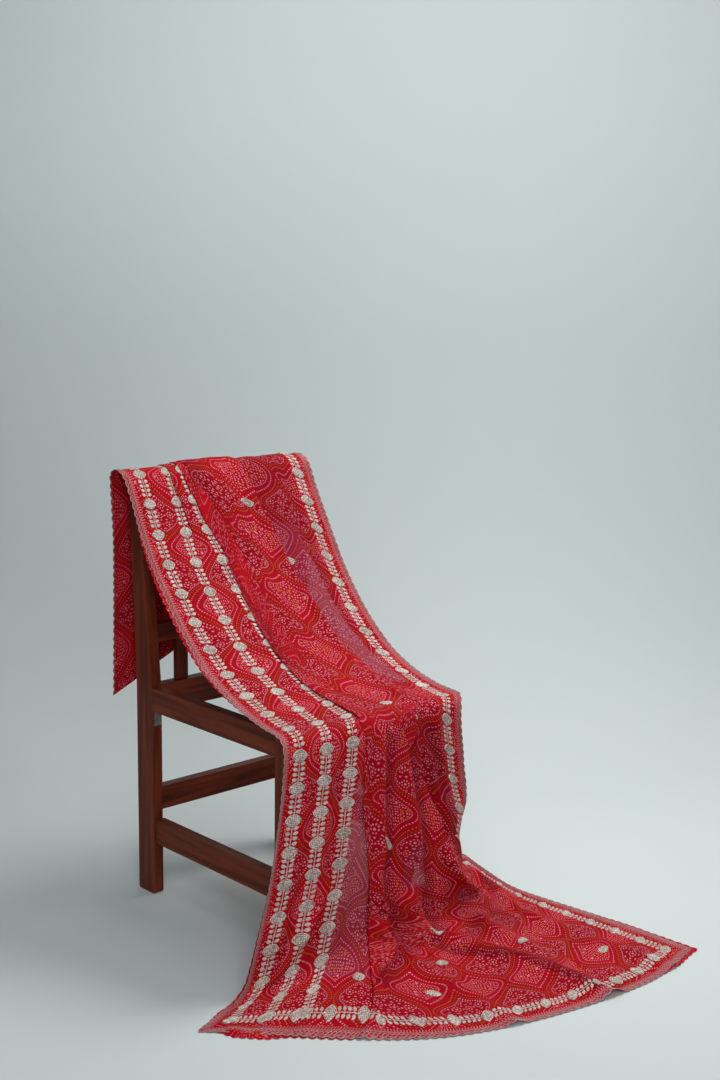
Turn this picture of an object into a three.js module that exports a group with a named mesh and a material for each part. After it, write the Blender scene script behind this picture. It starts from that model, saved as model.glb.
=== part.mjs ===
// A bandhani cloth thrown over a plain wooden chair.
//
// The cloth climbs the back of the chair, crosses its top rail, hangs in a swag to the front
// of the seat, drops to the floor and spreads there. It is one closed sheet, worked out from
// two tables: a row for each section of its run, and a row for each stop of each long fold.
//
// Millimetres, +Z up. While it is being worked out, x = 0 is the outer face of the left posts,
// y = 0 is the front face of the rear posts with the seat toward -Y, and z = 0 is the floor.
// At the end everything moves so that the origin lies under the middle of the whole.

import * as THREE from 'three';
import { mergeVertices } from 'three/addons/utils/BufferGeometryUtils.js';

const wood = new THREE.MeshStandardMaterial({ color: 0x3d1d14, roughness: 0.45, metalness: 0 });
const steel = new THREE.MeshStandardMaterial({ color: 0x8f9296, roughness: 0.4, metalness: 0.9 });
const dyedCloth = new THREE.MeshStandardMaterial({ color: 0xa8102a, roughness: 0.75, metalness: 0 });

// ---------------------------------------------------------------- chair sizes

const chair = {
  width: 430,          // across, outer face to outer face
  seatTop: 440,
  postThick: 23,       // posts and legs, across
  postDeep: 54,        // posts and legs, front to back
  frontLegFace: -443,  // y of the front legs' front face
  topLean: 42,         // how far back the posts' front face is at their top
  topDeep: 33,         // depth of the posts at their top
  postTop: 866,
  seatRailHigh: 48,
  seatRailThick: 24,
  railTop: 878.3,      // top of the rail that the cloth rests on
  railLow: 800,
  railMiddle: 60,      // y of the middle of that rail's rounded top
  railInset: 4,        // how far its faces stand inside the posts' faces
  footChamfer: 4,
};
const rearSeatRail = { front: 15, thick: 24, high: 56 };
const joint = 0.3;     // glued faces of the frame stand this far apart
const BACK_RAILS = [
  { name: 'cross_rail_upper', low: 641, high: 666, inset: 12 },
  { name: 'cross_rail_lower', low: 528, high: 564, inset: 12 },
];
const slats = { count: 4, wide: 28, thick: 12, front: 21 };
const sideStretcher = { low: 110, high: 160, inset: 5, thick: 22 };
const rearStretcher = { low: 173, high: 222, front: 15, thick: 22 };
const bracket = { x: 4, wide: 17, high: 31, thick: 2, reach: 18 };

// The rounded top of the top rail: distance from its middle, and height above or below its top.
const RAIL_ROUND = [
  { off: 15, rise: -14 },
  { off: 13.5, rise: -8 },
  { off: 9, rise: -3 },
  { off: 3, rise: 0 },
];

// ---------------------------------------------------------------- cloth sizes

const cloth = {
  width: 1060,         // edge to edge, laid flat
  thick: 2,
  layer: 6,            // from one layer of a fold to the next, middle to middle
  turn: 9.4,           // length of cloth in the round of a fold
  leastTuck: 4,        // a fold with less tucked in than this lies flat
  openTuck: 20,        // and with this much it turns right round
  deepTuck: 30,        // with this much it stands its full height
  cornerAt: 0.85,      // where a section's corner lies if its row gives none
};

// A row for each section across the cloth, from its rear hem, over the rail, to its front hem.
// left and right are its edges, belly is how far its middle stands out toward the front, and
// corner is where a section turns aside before it reaches its right edge.
const SECTIONS = [
  { name: 'rear hem',   left: [-30, 94, 410],     right: [432, 96, 620] },
  { name: 'rear low',   left: [-27, 95, 550],     right: [434, 97, 690] },
  { name: 'rear mid',   left: [-26, 93, 720],     right: [437, 94, 780] },
  { name: 'rear top',   left: [-34, 88, 845],     right: [438, 88, 845] },
  { name: 'rear crest', left: [-38, 81, 870],     right: [439, 81, 870] },
  { name: 'crest',      left: [-41, 60, 880],     right: [440, 60, 880] },
  { name: 'rail front', left: [-41, 33, 868],     right: [441, 33, 867] },
  { name: 'swag 1',     left: [-41, 9, 826],      right: [442, 9, 820] },
  { name: 'swag 2',     left: [-41, -24, 760],    right: [443, -29, 750] },
  { name: 'swag 3',     left: [-41, -63, 698],    right: [443, -69, 682] },
  { name: 'swag 4',     left: [-41, -106, 644],   right: [443, -115, 617] },
  { name: 'swag 5',     left: [-41, -154, 588],   right: [443, -168, 557] },
  { name: 'swag 6',     left: [-41, -217, 532],   right: [443, -230, 507] },
  { name: 'swag 7',     left: [-41, -278, 498],   right: [443, -298, 472] },
  { name: 'swag 8',     left: [-41, -338, 473],   right: [442, -360, 453] },
  { name: 'seat',       left: [-42, -402, 456],   right: [438, -415, 446] },
  { name: 'seat edge',  left: [-45, -446, 450],   right: [432, -446, 445] },
  { name: 'lip',        left: [-50, -466, 436],   right: [419, -462, 430] },
  { name: 'drop 1',     left: [-58, -473, 395],   right: [417, -465, 390] },
  { name: 'drop 2',     left: [-76, -475, 290],   right: [433, -462, 300], belly: 2 },
  { name: 'drop 3',     left: [-97, -477, 186],   right: [445, -457, 225], belly: 4, corner: [400, -474, 212] },
  { name: 'drop 4',     left: [-116, -479, 125],  right: [428, -448, 165], belly: 8, corner: [405, -473, 150] },
  { name: 'drop 5',     left: [-134, -481, 74],   right: [455, -415, 105], belly: 12, corner: [415, -470, 95] },
  { name: 'bend',       left: [-152, -484, 28],   right: [520, -350, 45], belly: 22, corner: [425, -471, 45] },
  { name: 'floor 1',    left: [-171, -490, 8],    right: [590, -295, 12], belly: 35, corner: [435, -485, 12] },
  { name: 'floor 2',    left: [-192, -497, 1],    right: [635, -280, 1], belly: 45, corner: [445, -510, 1] },
  { name: 'floor 3',    left: [-213, -503, 1],    right: [608, -375, 1], belly: 55, corner: [448, -560, 1] },
  { name: 'floor 4',    left: [-235, -510, 1],    right: [586, -480, 1], belly: 70, corner: [450, -630, 1] },
  { name: 'floor 5',    left: [-255, -516, 1],    right: [597, -600, 1], belly: 83, corner: [450, -715, 1] },
  { name: 'floor 6',    left: [-270, -521, 1],    right: [612, -750, 1], belly: 98, corner: [446, -825, 1] },
  { name: 'hem',        left: [-283, -527, 1],    right: [621, -896, 1], belly: 110, corner: [440, -925, 1] },
];

// The long folds. top says which side lies over the other, edge is where the covered or the
// covering strip meets the fold's edge, measured across the flat cloth from its left edge, and
// share is the part of the cloth's slack, its width less the section's length, that it hides.
const FOLDS = [
  { name: 'row fold', top: 'right', stops: [
    { at: 'rear hem', edge: 188, share: 0.48 },
    { at: 'swag 3', edge: 186, share: 0.48 },
    { at: 'swag 5', edge: 172, share: 0.48 },
    { at: 'swag 7', edge: 170, share: 0.48 },
    { at: 'seat', edge: 190, share: 0.48 },
    { at: 'lip', edge: 203, share: 0.47 },
    { at: 'drop 2', edge: 225, share: 0.48 },
    { at: 'drop 3', edge: 250, share: 0.48 },
    { at: 'drop 4', edge: 270, share: 0.48 },
    { at: 'bend', edge: 290, share: 0.48 },
    { at: 'floor 2', edge: 300, share: 0.45 },
    { at: 'hem', edge: 300, share: 0.45 },
  ] },
  { name: 'wide fold', top: 'left', stops: [
    { at: 'rear hem', edge: 585, share: 0.52 },
    { at: 'rail front', edge: 585, share: 0.52 },
    { at: 'swag 3', edge: 600, share: 0.52 },
    { at: 'swag 5', edge: 620, share: 0.52 },
    { at: 'swag 7', edge: 645, share: 0.52 },
    { at: 'seat', edge: 650, share: 0.52 },
    { at: 'lip', edge: 615, share: 0.53 },
    { at: 'drop 2', edge: 655, share: 0.52 },
    { at: 'drop 3', edge: 700, share: 0.52 },
    { at: 'drop 4', edge: 765, share: 0.52 },
    { at: 'bend', edge: 780, share: 0.52 },
    { at: 'hem', edge: 780, share: 0.55 },
  ] },
];

// How far the left strip with its three rows is drawn out, where 1 is flat.
const SPREAD = [
  { at: 'rear hem', drawn: 0.95 },
  { at: 'rail front', drawn: 0.95 },
  { at: 'swag 4', drawn: 1.06 },
  { at: 'swag 7', drawn: 1.12 },
  { at: 'seat', drawn: 1.08 },
  { at: 'lip', drawn: 0.93 },
  { at: 'floor 2', drawn: 0.97 },
  { at: 'hem', drawn: 0.90 },
];
const leftStrip = 190;
const leftStripFade = 30;

// Soft ridges: where each starts and ends across the flat cloth, its width and its height.
const RIDGES = [
  { name: 'swag valley',  from: 'swag 1',  start: 500, to: 'swag 7',  end: 540, width: 40, height: -5 },
  { name: 'drop crease',  from: 'lip',     start: 505, to: 'floor 5', end: 470, width: 30, height: 9 },
  { name: 'right fold',   from: 'seat',    start: 978, to: 'drop 4',  end: 1000, width: 16, height: 10 },
  { name: 'deep fold',    from: 'drop 1',  start: 610, to: 'floor 3', end: 540, width: 26, height: 15 },
  { name: 'long ridge',   from: 'bend',    start: 500, to: 'hem',     end: 735, width: 32, height: 16 },
  { name: 'short ridge',  from: 'floor 2', start: 490, to: 'hem',     end: 385, width: 24, height: 9 },
  { name: 'row flap',     from: 'drop 2',  start: 145, to: 'floor 3', end: 135, width: 18, height: 8 },
  { name: 'gathered tip', from: 'bend',    start: 930, to: 'floor 4', end: 960, width: 26, height: 14 },
  { name: 'hem pleat',    from: 'floor 5', start: 310, to: 'hem',     end: 300, width: 12, height: 7 },
];

// Columns of the sheet between the folds' rounds, and rows between one section and the next.
const COLUMNS = { leftStrip: 8, round: 4, tuck: 1, middleStrip: 7, rightStrip: 7 };
const ROWS_IN = {
  'rear top': 2, 'rear crest': 3, crest: 3, 'rail front': 2, 'seat edge': 3, lip: 2, 'drop 5': 2, bend: 2,
  'floor 1': 2, 'floor 5': 2, 'floor 6': 2,
};
const ordinaryRows = 1;

// ---------------------------------------------------------------- curve helpers

const sectionIndex = Object.fromEntries(SECTIONS.map((row, i) => [row.name, i]));
const clamp = (x, low, high) => Math.min(high, Math.max(low, x));
const mix = (a, b, t) => a + (b - a) * t;
const ease = (x) => {
  const t = clamp(x, 0, 1);
  return t * t * (3 - 2 * t);
};

function hermite(a, b, slopeA, slopeB, span, t) {
  const t2 = t * t;
  const t3 = t2 * t;
  return (2 * t3 - 3 * t2 + 1) * a + (t3 - 2 * t2 + t) * span * slopeA
    + (3 * t2 - 2 * t3) * b + (t3 - t2) * span * slopeB;
}

// One column of a table of stops, read at a place along the cloth without overshooting.
function readStops(stops, column, place) {
  const at = stops.map((row) => sectionIndex[row.at]);
  const value = stops.map((row) => row[column]);
  const last = at.length - 1;
  const x = clamp(place, at[0], at[last]);
  let i = 0;
  while (i < last - 1 && x >= at[i + 1]) i += 1;
  const rise = (k) => (value[k + 1] - value[k]) / (at[k + 1] - at[k]);
  const slope = (k) => {
    if (k === 0) return rise(0);
    if (k === last) return rise(last - 1);
    return rise(k - 1) * rise(k) <= 0 ? 0 : (rise(k - 1) + rise(k)) / 2;
  };
  const span = at[i + 1] - at[i];
  return hermite(value[i], value[i + 1], slope(i), slope(i + 1), span, (x - at[i]) / span);
}

// The four points that each section's curve passes through.
const sectionPoints = SECTIONS.map(({ left, right, belly = 0, corner }) => {
  const a = new THREE.Vector3(...left);
  const d = new THREE.Vector3(...right);
  const c = corner ? new THREE.Vector3(...corner) : a.clone().lerp(d, cloth.cornerAt);
  const out = new THREE.Vector3(c.y - a.y, a.x - c.x, 0).normalize().multiplyScalar(belly);
  const b = a.clone().add(c).multiplyScalar(0.5).add(out);
  return [a, b, c, d];
});

function pointsBetweenSections(place) {
  const last = sectionPoints.length - 1;
  const i = clamp(Math.floor(place), 0, last - 1);
  const t = place - i;
  return [0, 1, 2, 3].map((k) => {
    const p = (j) => sectionPoints[clamp(j, 0, last)][k];
    const point = new THREE.Vector3();
    for (const axis of ['x', 'y', 'z']) {
      const slopeA = (p(i + 1)[axis] - p(i - 1)[axis]) / 2;
      const slopeB = (p(i + 2)[axis] - p(i)[axis]) / 2;
      point[axis] = hermite(p(i)[axis], p(i + 1)[axis], slopeA, slopeB, 1, t);
    }
    return point;
  });
}

// ---------------------------------------------------------------- the cloth

const curveSamples = 96;

// A section's curve before it is folded: evenly spaced points and its length.
function sectionCurve(place) {
  const curve = new THREE.CatmullRomCurve3(pointsBetweenSections(place), false, 'centripetal');
  return { points: curve.getSpacedPoints(curveSamples), length: curve.getLength() };
}

function foldsAt(place, length) {
  const slack = Math.max(0, cloth.width - length);
  return FOLDS.map((fold) => {
    const edge = readStops(fold.stops, 'edge', place);
    const tuck = Math.max(cloth.leastTuck, readStops(fold.stops, 'share', place) * slack / 2);
    const first = fold.top === 'right' ? edge + tuck : edge;
    return {
      tuck, first, second: first + tuck,
      side: fold.top === 'right' ? 1 : -1,
      turn: Math.min(cloth.turn, tuck / 2),
    };
  });
}

// How far the folded cloth has come along its section, and how high it lies, for every
// millimetre of its flat width.
function foldedProfile(place, folds) {
  const drawn = readStops(SPREAD, 'drawn', place);
  const along = [0];
  const height = new Array(cloth.width + 1).fill(0);
  const pace = [];
  for (let u = 0; u <= cloth.width; u += 1) {
    let step = 1 + (drawn - 1) * (1 - ease((u - leftStrip) / leftStripFade));
    for (const f of folds) step *= Math.cos(angleIn(f, u));
    pace.push(step);
    if (u > 0) along.push(along[u - 1] + (pace[u - 1] + pace[u]) / 2);
  }
  for (const f of folds) {
    let climbed = 0;
    const climb = height.map((_, u) => { climbed += Math.sin(angleIn(f, u)); return climbed; });
    const wanted = 2 * cloth.layer * Math.min(1, f.tuck / cloth.deepTuck);
    const scale = climbed > 0 ? Math.min(1, wanted / climbed) : 0;
    climb.forEach((c, u) => { height[u] += f.side * c * scale; });
  }
  return { along: along.map((a) => a / along[cloth.width]), height };
}

function angleIn(fold, u) {
  const opened = ease((fold.tuck - cloth.leastTuck) / (cloth.openTuck - cloth.leastTuck));
  const into = ease((u - fold.first) / fold.turn + 0.5);
  const outOf = ease((u - fold.second) / fold.turn + 0.5);
  return Math.PI * opened * (into - outOf);
}

// A ridge swells over the first third of its run and dies away over the last, or runs out
// through the hem a little lower than it began.
function ridgeHeight(place, u) {
  const swellOver = 0.3;
  const leftAtHem = 0.6;
  let height = 0;
  for (const ridge of RIDGES) {
    const a = sectionIndex[ridge.from];
    const b = sectionIndex[ridge.to];
    const t = (place - a) / (b - a);
    if (t <= 0 || t > 1) continue;
    const runOut = ridge.to === 'hem' ? mix(1, leftAtHem, t) : ease((1 - t) / swellOver);
    const swell = ease(t / swellOver) * runOut;
    const off = (u - mix(ridge.start, ridge.end, t)) / ridge.width;
    height += ridge.height * swell * Math.exp(-off * off);
  }
  return height;
}

// Where the sheet's columns stand across the flat cloth, closer together in the rounds.
function columnPlaces(folds) {
  const places = [0];
  const run = (to, count) => {
    const from = places[places.length - 1];
    for (let k = 1; k <= count; k += 1) places.push(mix(from, to, k / count));
  };
  const strips = [COLUMNS.leftStrip, COLUMNS.middleStrip];
  folds.forEach((f, i) => {
    run(f.first - f.turn / 2, strips[i]);
    run(f.first + f.turn / 2, COLUMNS.round);
    run(f.second - f.turn / 2, COLUMNS.tuck);
    run(f.second + f.turn / 2, COLUMNS.round);
  });
  run(cloth.width, COLUMNS.rightStrip);
  return places;
}

function rowPlaces() {
  const places = [];
  SECTIONS.slice(0, -1).forEach((row, i) => {
    const count = ROWS_IN[row.name] ?? ordinaryRows;
    for (let k = 0; k < count; k += 1) places.push(i + k / count);
  });
  places.push(SECTIONS.length - 1);
  return places;
}

function clothRow(place) {
  const nudge = 0.02;
  const { points, length } = sectionCurve(place);
  const behind = sectionCurve(Math.max(0, place - nudge)).points;
  const ahead = sectionCurve(Math.min(SECTIONS.length - 1, place + nudge)).points;
  const folds = foldsAt(place, length);
  const { along, height } = foldedProfile(place, folds);
  return columnPlaces(folds).map((u) => {
    const low = Math.min(Math.floor(u), cloth.width - 1);
    const t = clamp(mix(along[low], along[low + 1], u - low), 0, 1) * curveSamples;
    const h = mix(height[low], height[low + 1], u - low) + ridgeHeight(place, u);
    const k = Math.min(Math.floor(t), curveSamples - 1);
    const point = points[k].clone().lerp(points[k + 1], t - k);
    const acrossIt = points[k + 1].clone().sub(points[k]);
    const alongIt = ahead[k].clone().sub(behind[k]);
    const outward = alongIt.cross(acrossIt).normalize();
    return point.addScaledVector(outward, h);
  });
}

// A closed sheet from a grid of points on its middle, half its thickness to each side.
function sheetGeometry(grid, thick) {
  const rows = grid.length;
  const columns = grid[0].length;
  const at = (i, j) => grid[clamp(i, 0, rows - 1)][clamp(j, 0, columns - 1)];
  const positions = [];
  for (const side of [1, -1]) {
    grid.forEach((row, i) => row.forEach((point, j) => {
      const alongIt = at(i + 1, j).clone().sub(at(i - 1, j));
      const acrossIt = at(i, j + 1).clone().sub(at(i, j - 1));
      const outward = alongIt.cross(acrossIt).normalize();
      const p = point.clone().addScaledVector(outward, side * thick / 2);
      const floor = side * outward.z >= 0 ? thick : 0;
      positions.push(p.x, p.y, Math.max(p.z, floor));
    }));
  }
  const upper = (i, j) => i * columns + j;
  const under = (i, j) => rows * columns + upper(i, j);
  const faces = [];
  const quad = (a, b, c, d) => faces.push(a, b, c, a, c, d);
  for (let i = 0; i < rows - 1; i += 1) {
    for (let j = 0; j < columns - 1; j += 1) {
      quad(upper(i, j), upper(i + 1, j), upper(i + 1, j + 1), upper(i, j + 1));
      quad(under(i, j), under(i, j + 1), under(i + 1, j + 1), under(i + 1, j));
    }
  }
  for (let i = 0; i < rows - 1; i += 1) {
    const j = columns - 1;
    quad(upper(i, 0), under(i, 0), under(i + 1, 0), upper(i + 1, 0));
    quad(upper(i, j), upper(i + 1, j), under(i + 1, j), under(i, j));
  }
  for (let j = 0; j < columns - 1; j += 1) {
    const i = rows - 1;
    quad(upper(0, j), upper(0, j + 1), under(0, j + 1), under(0, j));
    quad(upper(i, j), under(i, j), under(i, j + 1), upper(i, j + 1));
  }
  const geometry = new THREE.BufferGeometry();
  geometry.setAttribute('position', new THREE.Float32BufferAttribute(positions, 3));
  geometry.setIndex(faces);
  return geometry;
}

// ---------------------------------------------------------------- chair pieces

// A straight bar with a side outline in the (y, z) plane, from x to x + across.
function barFromSide(outline, x, across) {
  const shape = new THREE.Shape(outline.map(([y, z]) => new THREE.Vector2(y, z)));
  const geometry = new THREE.ExtrudeGeometry(shape, { depth: across, bevelEnabled: false });
  // the outline's y and z and the extrusion become y, z and x
  geometry.applyMatrix4(new THREE.Matrix4().set(0, 0, 1, x, 1, 0, 0, 0, 0, 1, 0, 0, 0, 0, 0, 1));
  return geometry;
}

function boxBetween(low, high) {
  const size = high.map((value, k) => value - low[k]);
  const geometry = new THREE.BoxGeometry(...size);
  geometry.translate(...low.map((value, k) => value + size[k] / 2));
  return geometry;
}

// Where the pieces between the left and right posts begin and end, and the side rails' ends.
const innerLeft = chair.postThick + joint;
const innerRight = chair.width - innerLeft;
const legBack = chair.frontLegFace + chair.postDeep;

const leanOf = (z) => clamp((z - chair.seatTop) / (chair.postTop - chair.seatTop), 0, 1);
const postFront = (z) => chair.topLean * leanOf(z);
const postRear = (z) => mix(chair.postDeep, chair.topLean + chair.topDeep, leanOf(z));

function rearPost(x) {
  const c = chair.footChamfer;
  return barFromSide([
    [c, 0], [chair.postDeep - c, 0], [chair.postDeep, c], [chair.postDeep, chair.seatTop],
    [postRear(chair.postTop), chair.postTop], [postFront(chair.postTop), chair.postTop],
    [0, chair.seatTop], [0, c],
  ], x, chair.postThick);
}

function frontLeg(x) {
  const c = chair.footChamfer;
  const front = chair.frontLegFace;
  return barFromSide([
    [front + c, 0], [legBack - c, 0], [legBack, c], [legBack, chair.seatTop],
    [front, chair.seatTop], [front, c],
  ], x, chair.postThick);
}

// A rail between the two rear posts, leaning with them. front and rear are set in from the
// posts' faces by inset.
function backRail(low, high, inset) {
  const outline = [
    [postFront(low) + inset, low], [postRear(low) - inset, low],
    [postRear(high) - inset, high], [postFront(high) + inset, high],
  ];
  return barFromSide(outline, innerLeft, innerRight - innerLeft);
}

// The top rail carries the cloth: its top is rounded and stands over the posts.
function topRail() {
  const { railLow, railTop, railMiddle, railInset } = chair;
  const rear = RAIL_ROUND.map(({ off, rise }) => [railMiddle + off, railTop + rise]);
  const front = RAIL_ROUND.map(({ off, rise }) => [railMiddle - off, railTop + rise]).reverse();
  const outline = [
    [postFront(railLow) + railInset, railLow], [postRear(railLow) - railInset, railLow],
    ...rear, ...front,
  ];
  return barFromSide(outline, innerLeft, innerRight - innerLeft);
}

// A small bent plate under the left seat rail, against the front of the rear post.
function bracketGeometry() {
  const under = chair.seatTop - chair.seatRailHigh - joint;
  const face = -joint;
  return barFromSide([
    [face, under], [face - bracket.reach, under], [face - bracket.reach, under - bracket.thick],
    [face - bracket.thick, under - bracket.thick], [face - bracket.thick, under - bracket.high],
    [face, under - bracket.high],
  ].reverse(), bracket.x, bracket.wide);
}

// ---------------------------------------------------------------- assembly

const model = new THREE.Group();

function addPiece(name, geometry, material) {
  geometry.deleteAttribute('uv');
  geometry.deleteAttribute('normal');
  const piece = new THREE.Mesh(mergeVertices(geometry, 1e-4), material);
  piece.geometry.computeVertexNormals();
  piece.name = name;
  model.add(piece);
}

function addSeatFrame() {
  const low = chair.seatTop - chair.seatRailHigh;
  const high = chair.seatTop;
  const thick = chair.seatRailThick;
  const sides = [['seat_rail_left', 0], ['seat_rail_right', chair.width - thick]];
  for (const [name, x] of sides) {
    addPiece(name, boxBetween([x, legBack + joint, low], [x + thick, -joint, high]), wood);
  }
  const front = chair.frontLegFace;
  addPiece('seat_rail_front',
    boxBetween([innerLeft, front, low], [innerRight, front + thick, high]), wood);
  const rear = rearSeatRail;
  addPiece('seat_rail_rear', boxBetween([innerLeft, rear.front, high - rear.high],
    [innerRight, rear.front + rear.thick, high]), wood);
}

function addBack() {
  addPiece('top_rail', topRail(), wood);
  for (const rail of BACK_RAILS) {
    addPiece(rail.name, backRail(rail.low, rail.high, rail.inset), wood);
  }
  const between = chair.width - 2 * chair.postThick;
  const gap = (between - slats.count * slats.wide) / (slats.count + 1);
  const low = chair.seatTop + joint;
  const high = BACK_RAILS.at(-1).low - joint;
  for (let k = 0; k < slats.count; k += 1) {
    const x = chair.postThick + gap + k * (slats.wide + gap);
    addPiece(`back_slat_${k + 1}`, boxBetween([x, slats.front, low],
      [x + slats.wide, slats.front + slats.thick, high]), wood);
  }
}

function addStretchers() {
  const { low, high, inset, thick } = sideStretcher;
  const sides = [
    ['side_stretcher_left', inset],
    ['side_stretcher_right', chair.width - inset - thick],
  ];
  for (const [name, x] of sides) {
    addPiece(name, boxBetween([x, legBack + joint, low], [x + thick, -joint, high]), wood);
  }
  const rear = rearStretcher;
  addPiece('rear_stretcher', boxBetween([innerLeft, rear.front, rear.low],
    [innerRight, rear.front + rear.thick, rear.high]), wood);
}

function addChair() {
  const rightX = chair.width - chair.postThick;
  addPiece('rear_post_left', rearPost(0), wood);
  addPiece('rear_post_right', rearPost(rightX), wood);
  addPiece('front_leg_left', frontLeg(0), wood);
  addPiece('front_leg_right', frontLeg(rightX), wood);
  addSeatFrame();
  addBack();
  addStretchers();
  addPiece('seat_bracket', bracketGeometry(), steel);
}

addChair();
addPiece('cloth', sheetGeometry(rowPlaces().map(clothRow), cloth.thick), dyedCloth);

const reach = new THREE.Box3().setFromObject(model);
model.position.set(-(reach.min.x + reach.max.x) / 2, -(reach.min.y + reach.max.y) / 2, -reach.min.z);

export default model;
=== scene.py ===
# %% [markdown]
# # A bandhani cloth thrown over a wooden chair
#
# Bandhani is cloth that is tied in hundreds of tiny knots before it goes into the dye. Each
# knot keeps its spot pale, so the pattern is made of dots. This one is thin red georgette,
# doubled end to end, with silvery ribbon and metallic thread sewn along its edges.
#
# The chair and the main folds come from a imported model. It is loaded first, and nothing in
# it moves. Everything below is measured from one corner of it, the outer front foot of the
# left rear post, so the drape and the chair cannot drift apart.

import functools
import math

import bpy
import numpy as np
from mathutils import Matrix, Vector


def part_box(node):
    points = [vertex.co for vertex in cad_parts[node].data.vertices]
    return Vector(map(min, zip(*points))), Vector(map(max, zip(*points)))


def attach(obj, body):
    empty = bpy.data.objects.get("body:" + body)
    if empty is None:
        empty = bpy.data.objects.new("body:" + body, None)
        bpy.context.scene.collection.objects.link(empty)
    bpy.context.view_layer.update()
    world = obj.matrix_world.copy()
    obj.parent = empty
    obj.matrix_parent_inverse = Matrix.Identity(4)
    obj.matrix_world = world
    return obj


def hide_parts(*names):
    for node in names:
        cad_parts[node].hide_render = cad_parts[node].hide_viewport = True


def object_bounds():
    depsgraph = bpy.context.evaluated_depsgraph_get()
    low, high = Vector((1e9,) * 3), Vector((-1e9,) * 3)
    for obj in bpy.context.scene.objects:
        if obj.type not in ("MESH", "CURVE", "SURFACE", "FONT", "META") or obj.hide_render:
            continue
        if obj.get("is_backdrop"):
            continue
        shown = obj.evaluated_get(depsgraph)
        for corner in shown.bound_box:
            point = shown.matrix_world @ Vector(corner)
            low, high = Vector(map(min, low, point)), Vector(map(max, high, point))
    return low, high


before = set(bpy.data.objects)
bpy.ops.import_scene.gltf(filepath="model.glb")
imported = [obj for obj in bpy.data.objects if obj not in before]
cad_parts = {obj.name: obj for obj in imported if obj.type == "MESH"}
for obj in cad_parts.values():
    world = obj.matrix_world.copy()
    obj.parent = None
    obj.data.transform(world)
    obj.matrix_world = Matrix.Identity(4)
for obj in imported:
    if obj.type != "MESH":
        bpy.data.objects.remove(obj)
cad_low, cad_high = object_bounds()
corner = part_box("rear_post_left")[0]
MM = 0.001
print("nodes", len(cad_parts), "box", [round(x, 3) for x in cad_high - cad_low])

# %% [markdown]
# ## The camera
#
# A camera has a place, a direction and a lens. Here the direction is built from three plain
# angles: how far it turns from straight ahead, how far it dips, and how far it rolls. The
# three axes that they give are the columns of the camera's matrix. This is clearer than
# typing Euler angles, because each number can be changed alone.

# %% Camera
eye = corner + Vector((-1.6948, -2.4349, 1.2554))
turned, dipped, rolled = -0.749, 0.1704, 0.0123
level = Vector((math.cos(turned), math.sin(turned), 0))
ground_ahead = Vector((-math.sin(turned), math.cos(turned), 0))
ahead = ground_ahead * math.cos(dipped) - Vector((0, 0, math.sin(dipped)))
upright = level.cross(ahead)
camera_right = level * math.cos(rolled) + upright * math.sin(rolled)
camera_up = upright * math.cos(rolled) - level * math.sin(rolled)

camera = bpy.data.objects.new("camera", bpy.data.cameras.new("camera"))
camera.data.lens = 50
camera.data.sensor_fit = "VERTICAL"
camera.data.sensor_height = 36
camera.matrix_world = Matrix((camera_right, camera_up, -ahead)).transposed().to_4x4()
camera.location = eye
bpy.context.scene.collection.objects.link(camera)
bpy.context.scene.camera = camera
print("camera is", round((eye - Vector(corner)).length, 2), "m from the chair's corner")

# %% [markdown]
# ## Helpers for meshes
#
# NumPy works out whole grids of points at once, which is many times quicker than adding
# vertices one by one. This helper turns such arrays into a Blender object.

# %% Mesh helper
def make_piece(name, points, faces, material):
    mesh = bpy.data.meshes.new(name)
    faces = faces if isinstance(faces, list) else faces.tolist()
    mesh.from_pydata(np.asarray(points).tolist(), [], faces)
    mesh.polygons.foreach_set("use_smooth", [True] * len(mesh.polygons))
    mesh.materials.append(material)
    mesh.update()
    piece = bpy.data.objects.new(name, mesh)
    bpy.context.scene.collection.objects.link(piece)
    print(name, len(mesh.vertices), "points", len(mesh.polygons), "faces")
    return piece


def give_map(piece, name, places):
    """A UV map from one (x, y) for each vertex."""
    mesh = piece.data
    layer = mesh.uv_layers.new(name=name)
    corners = np.empty(len(mesh.loops), int)
    mesh.loops.foreach_get("vertex_index", corners)
    layer.data.foreach_set("uv", np.asarray(places, np.float32)[corners].ravel())


def grid_faces(rows, columns):
    """Four-cornered faces of a grid of points that is stored row by row."""
    first = (np.arange(rows - 1)[:, None] * columns + np.arange(columns - 1)).ravel()
    return np.stack([first, first + columns, first + columns + 1, first + 1], 1)


# %% [markdown]
# ## Helpers for materials
#
# A node material is a small program. A few helpers keep it readable: one fills a socket,
# with a link or a plain value, one adds a node, and one does arithmetic. An effect that
# several materials share, such as the dots, becomes a node group with named inputs and
# outputs.

# %% Node helpers
def put(tree, socket, value):
    if isinstance(value, bpy.types.NodeSocket):
        tree.links.new(value, socket)
    else:
        socket.default_value = value


def fill(tree, sockets, **values):
    """Fills sockets by name; an underscore stands for a space."""
    for name, value in values.items():
        put(tree, sockets[name.replace("_", " ")], value)


def add_node(tree, kind, inputs=None, **settings):
    node = tree.nodes.new(kind)
    for setting, value in settings.items():
        setattr(node, setting, value)
    for socket, value in (inputs or {}).items():
        put(tree, node.inputs[socket], value)
    return node


def arithmetic(tree):
    """A function that adds a Math node and gives back its result."""

    def work(operation, *values):
        node = add_node(tree, "ShaderNodeMath", dict(enumerate(values)), operation=operation)
        return node.outputs[0]

    return work


def step_up(tree, value, low, high):
    """0 below low, 1 above high, and a soft step between them."""
    ends = {"Value": value, "From Min": low, "From Max": high}
    node = add_node(tree, "ShaderNodeMapRange", ends, interpolation_type="SMOOTHSTEP")
    return node.outputs["Result"]


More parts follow.
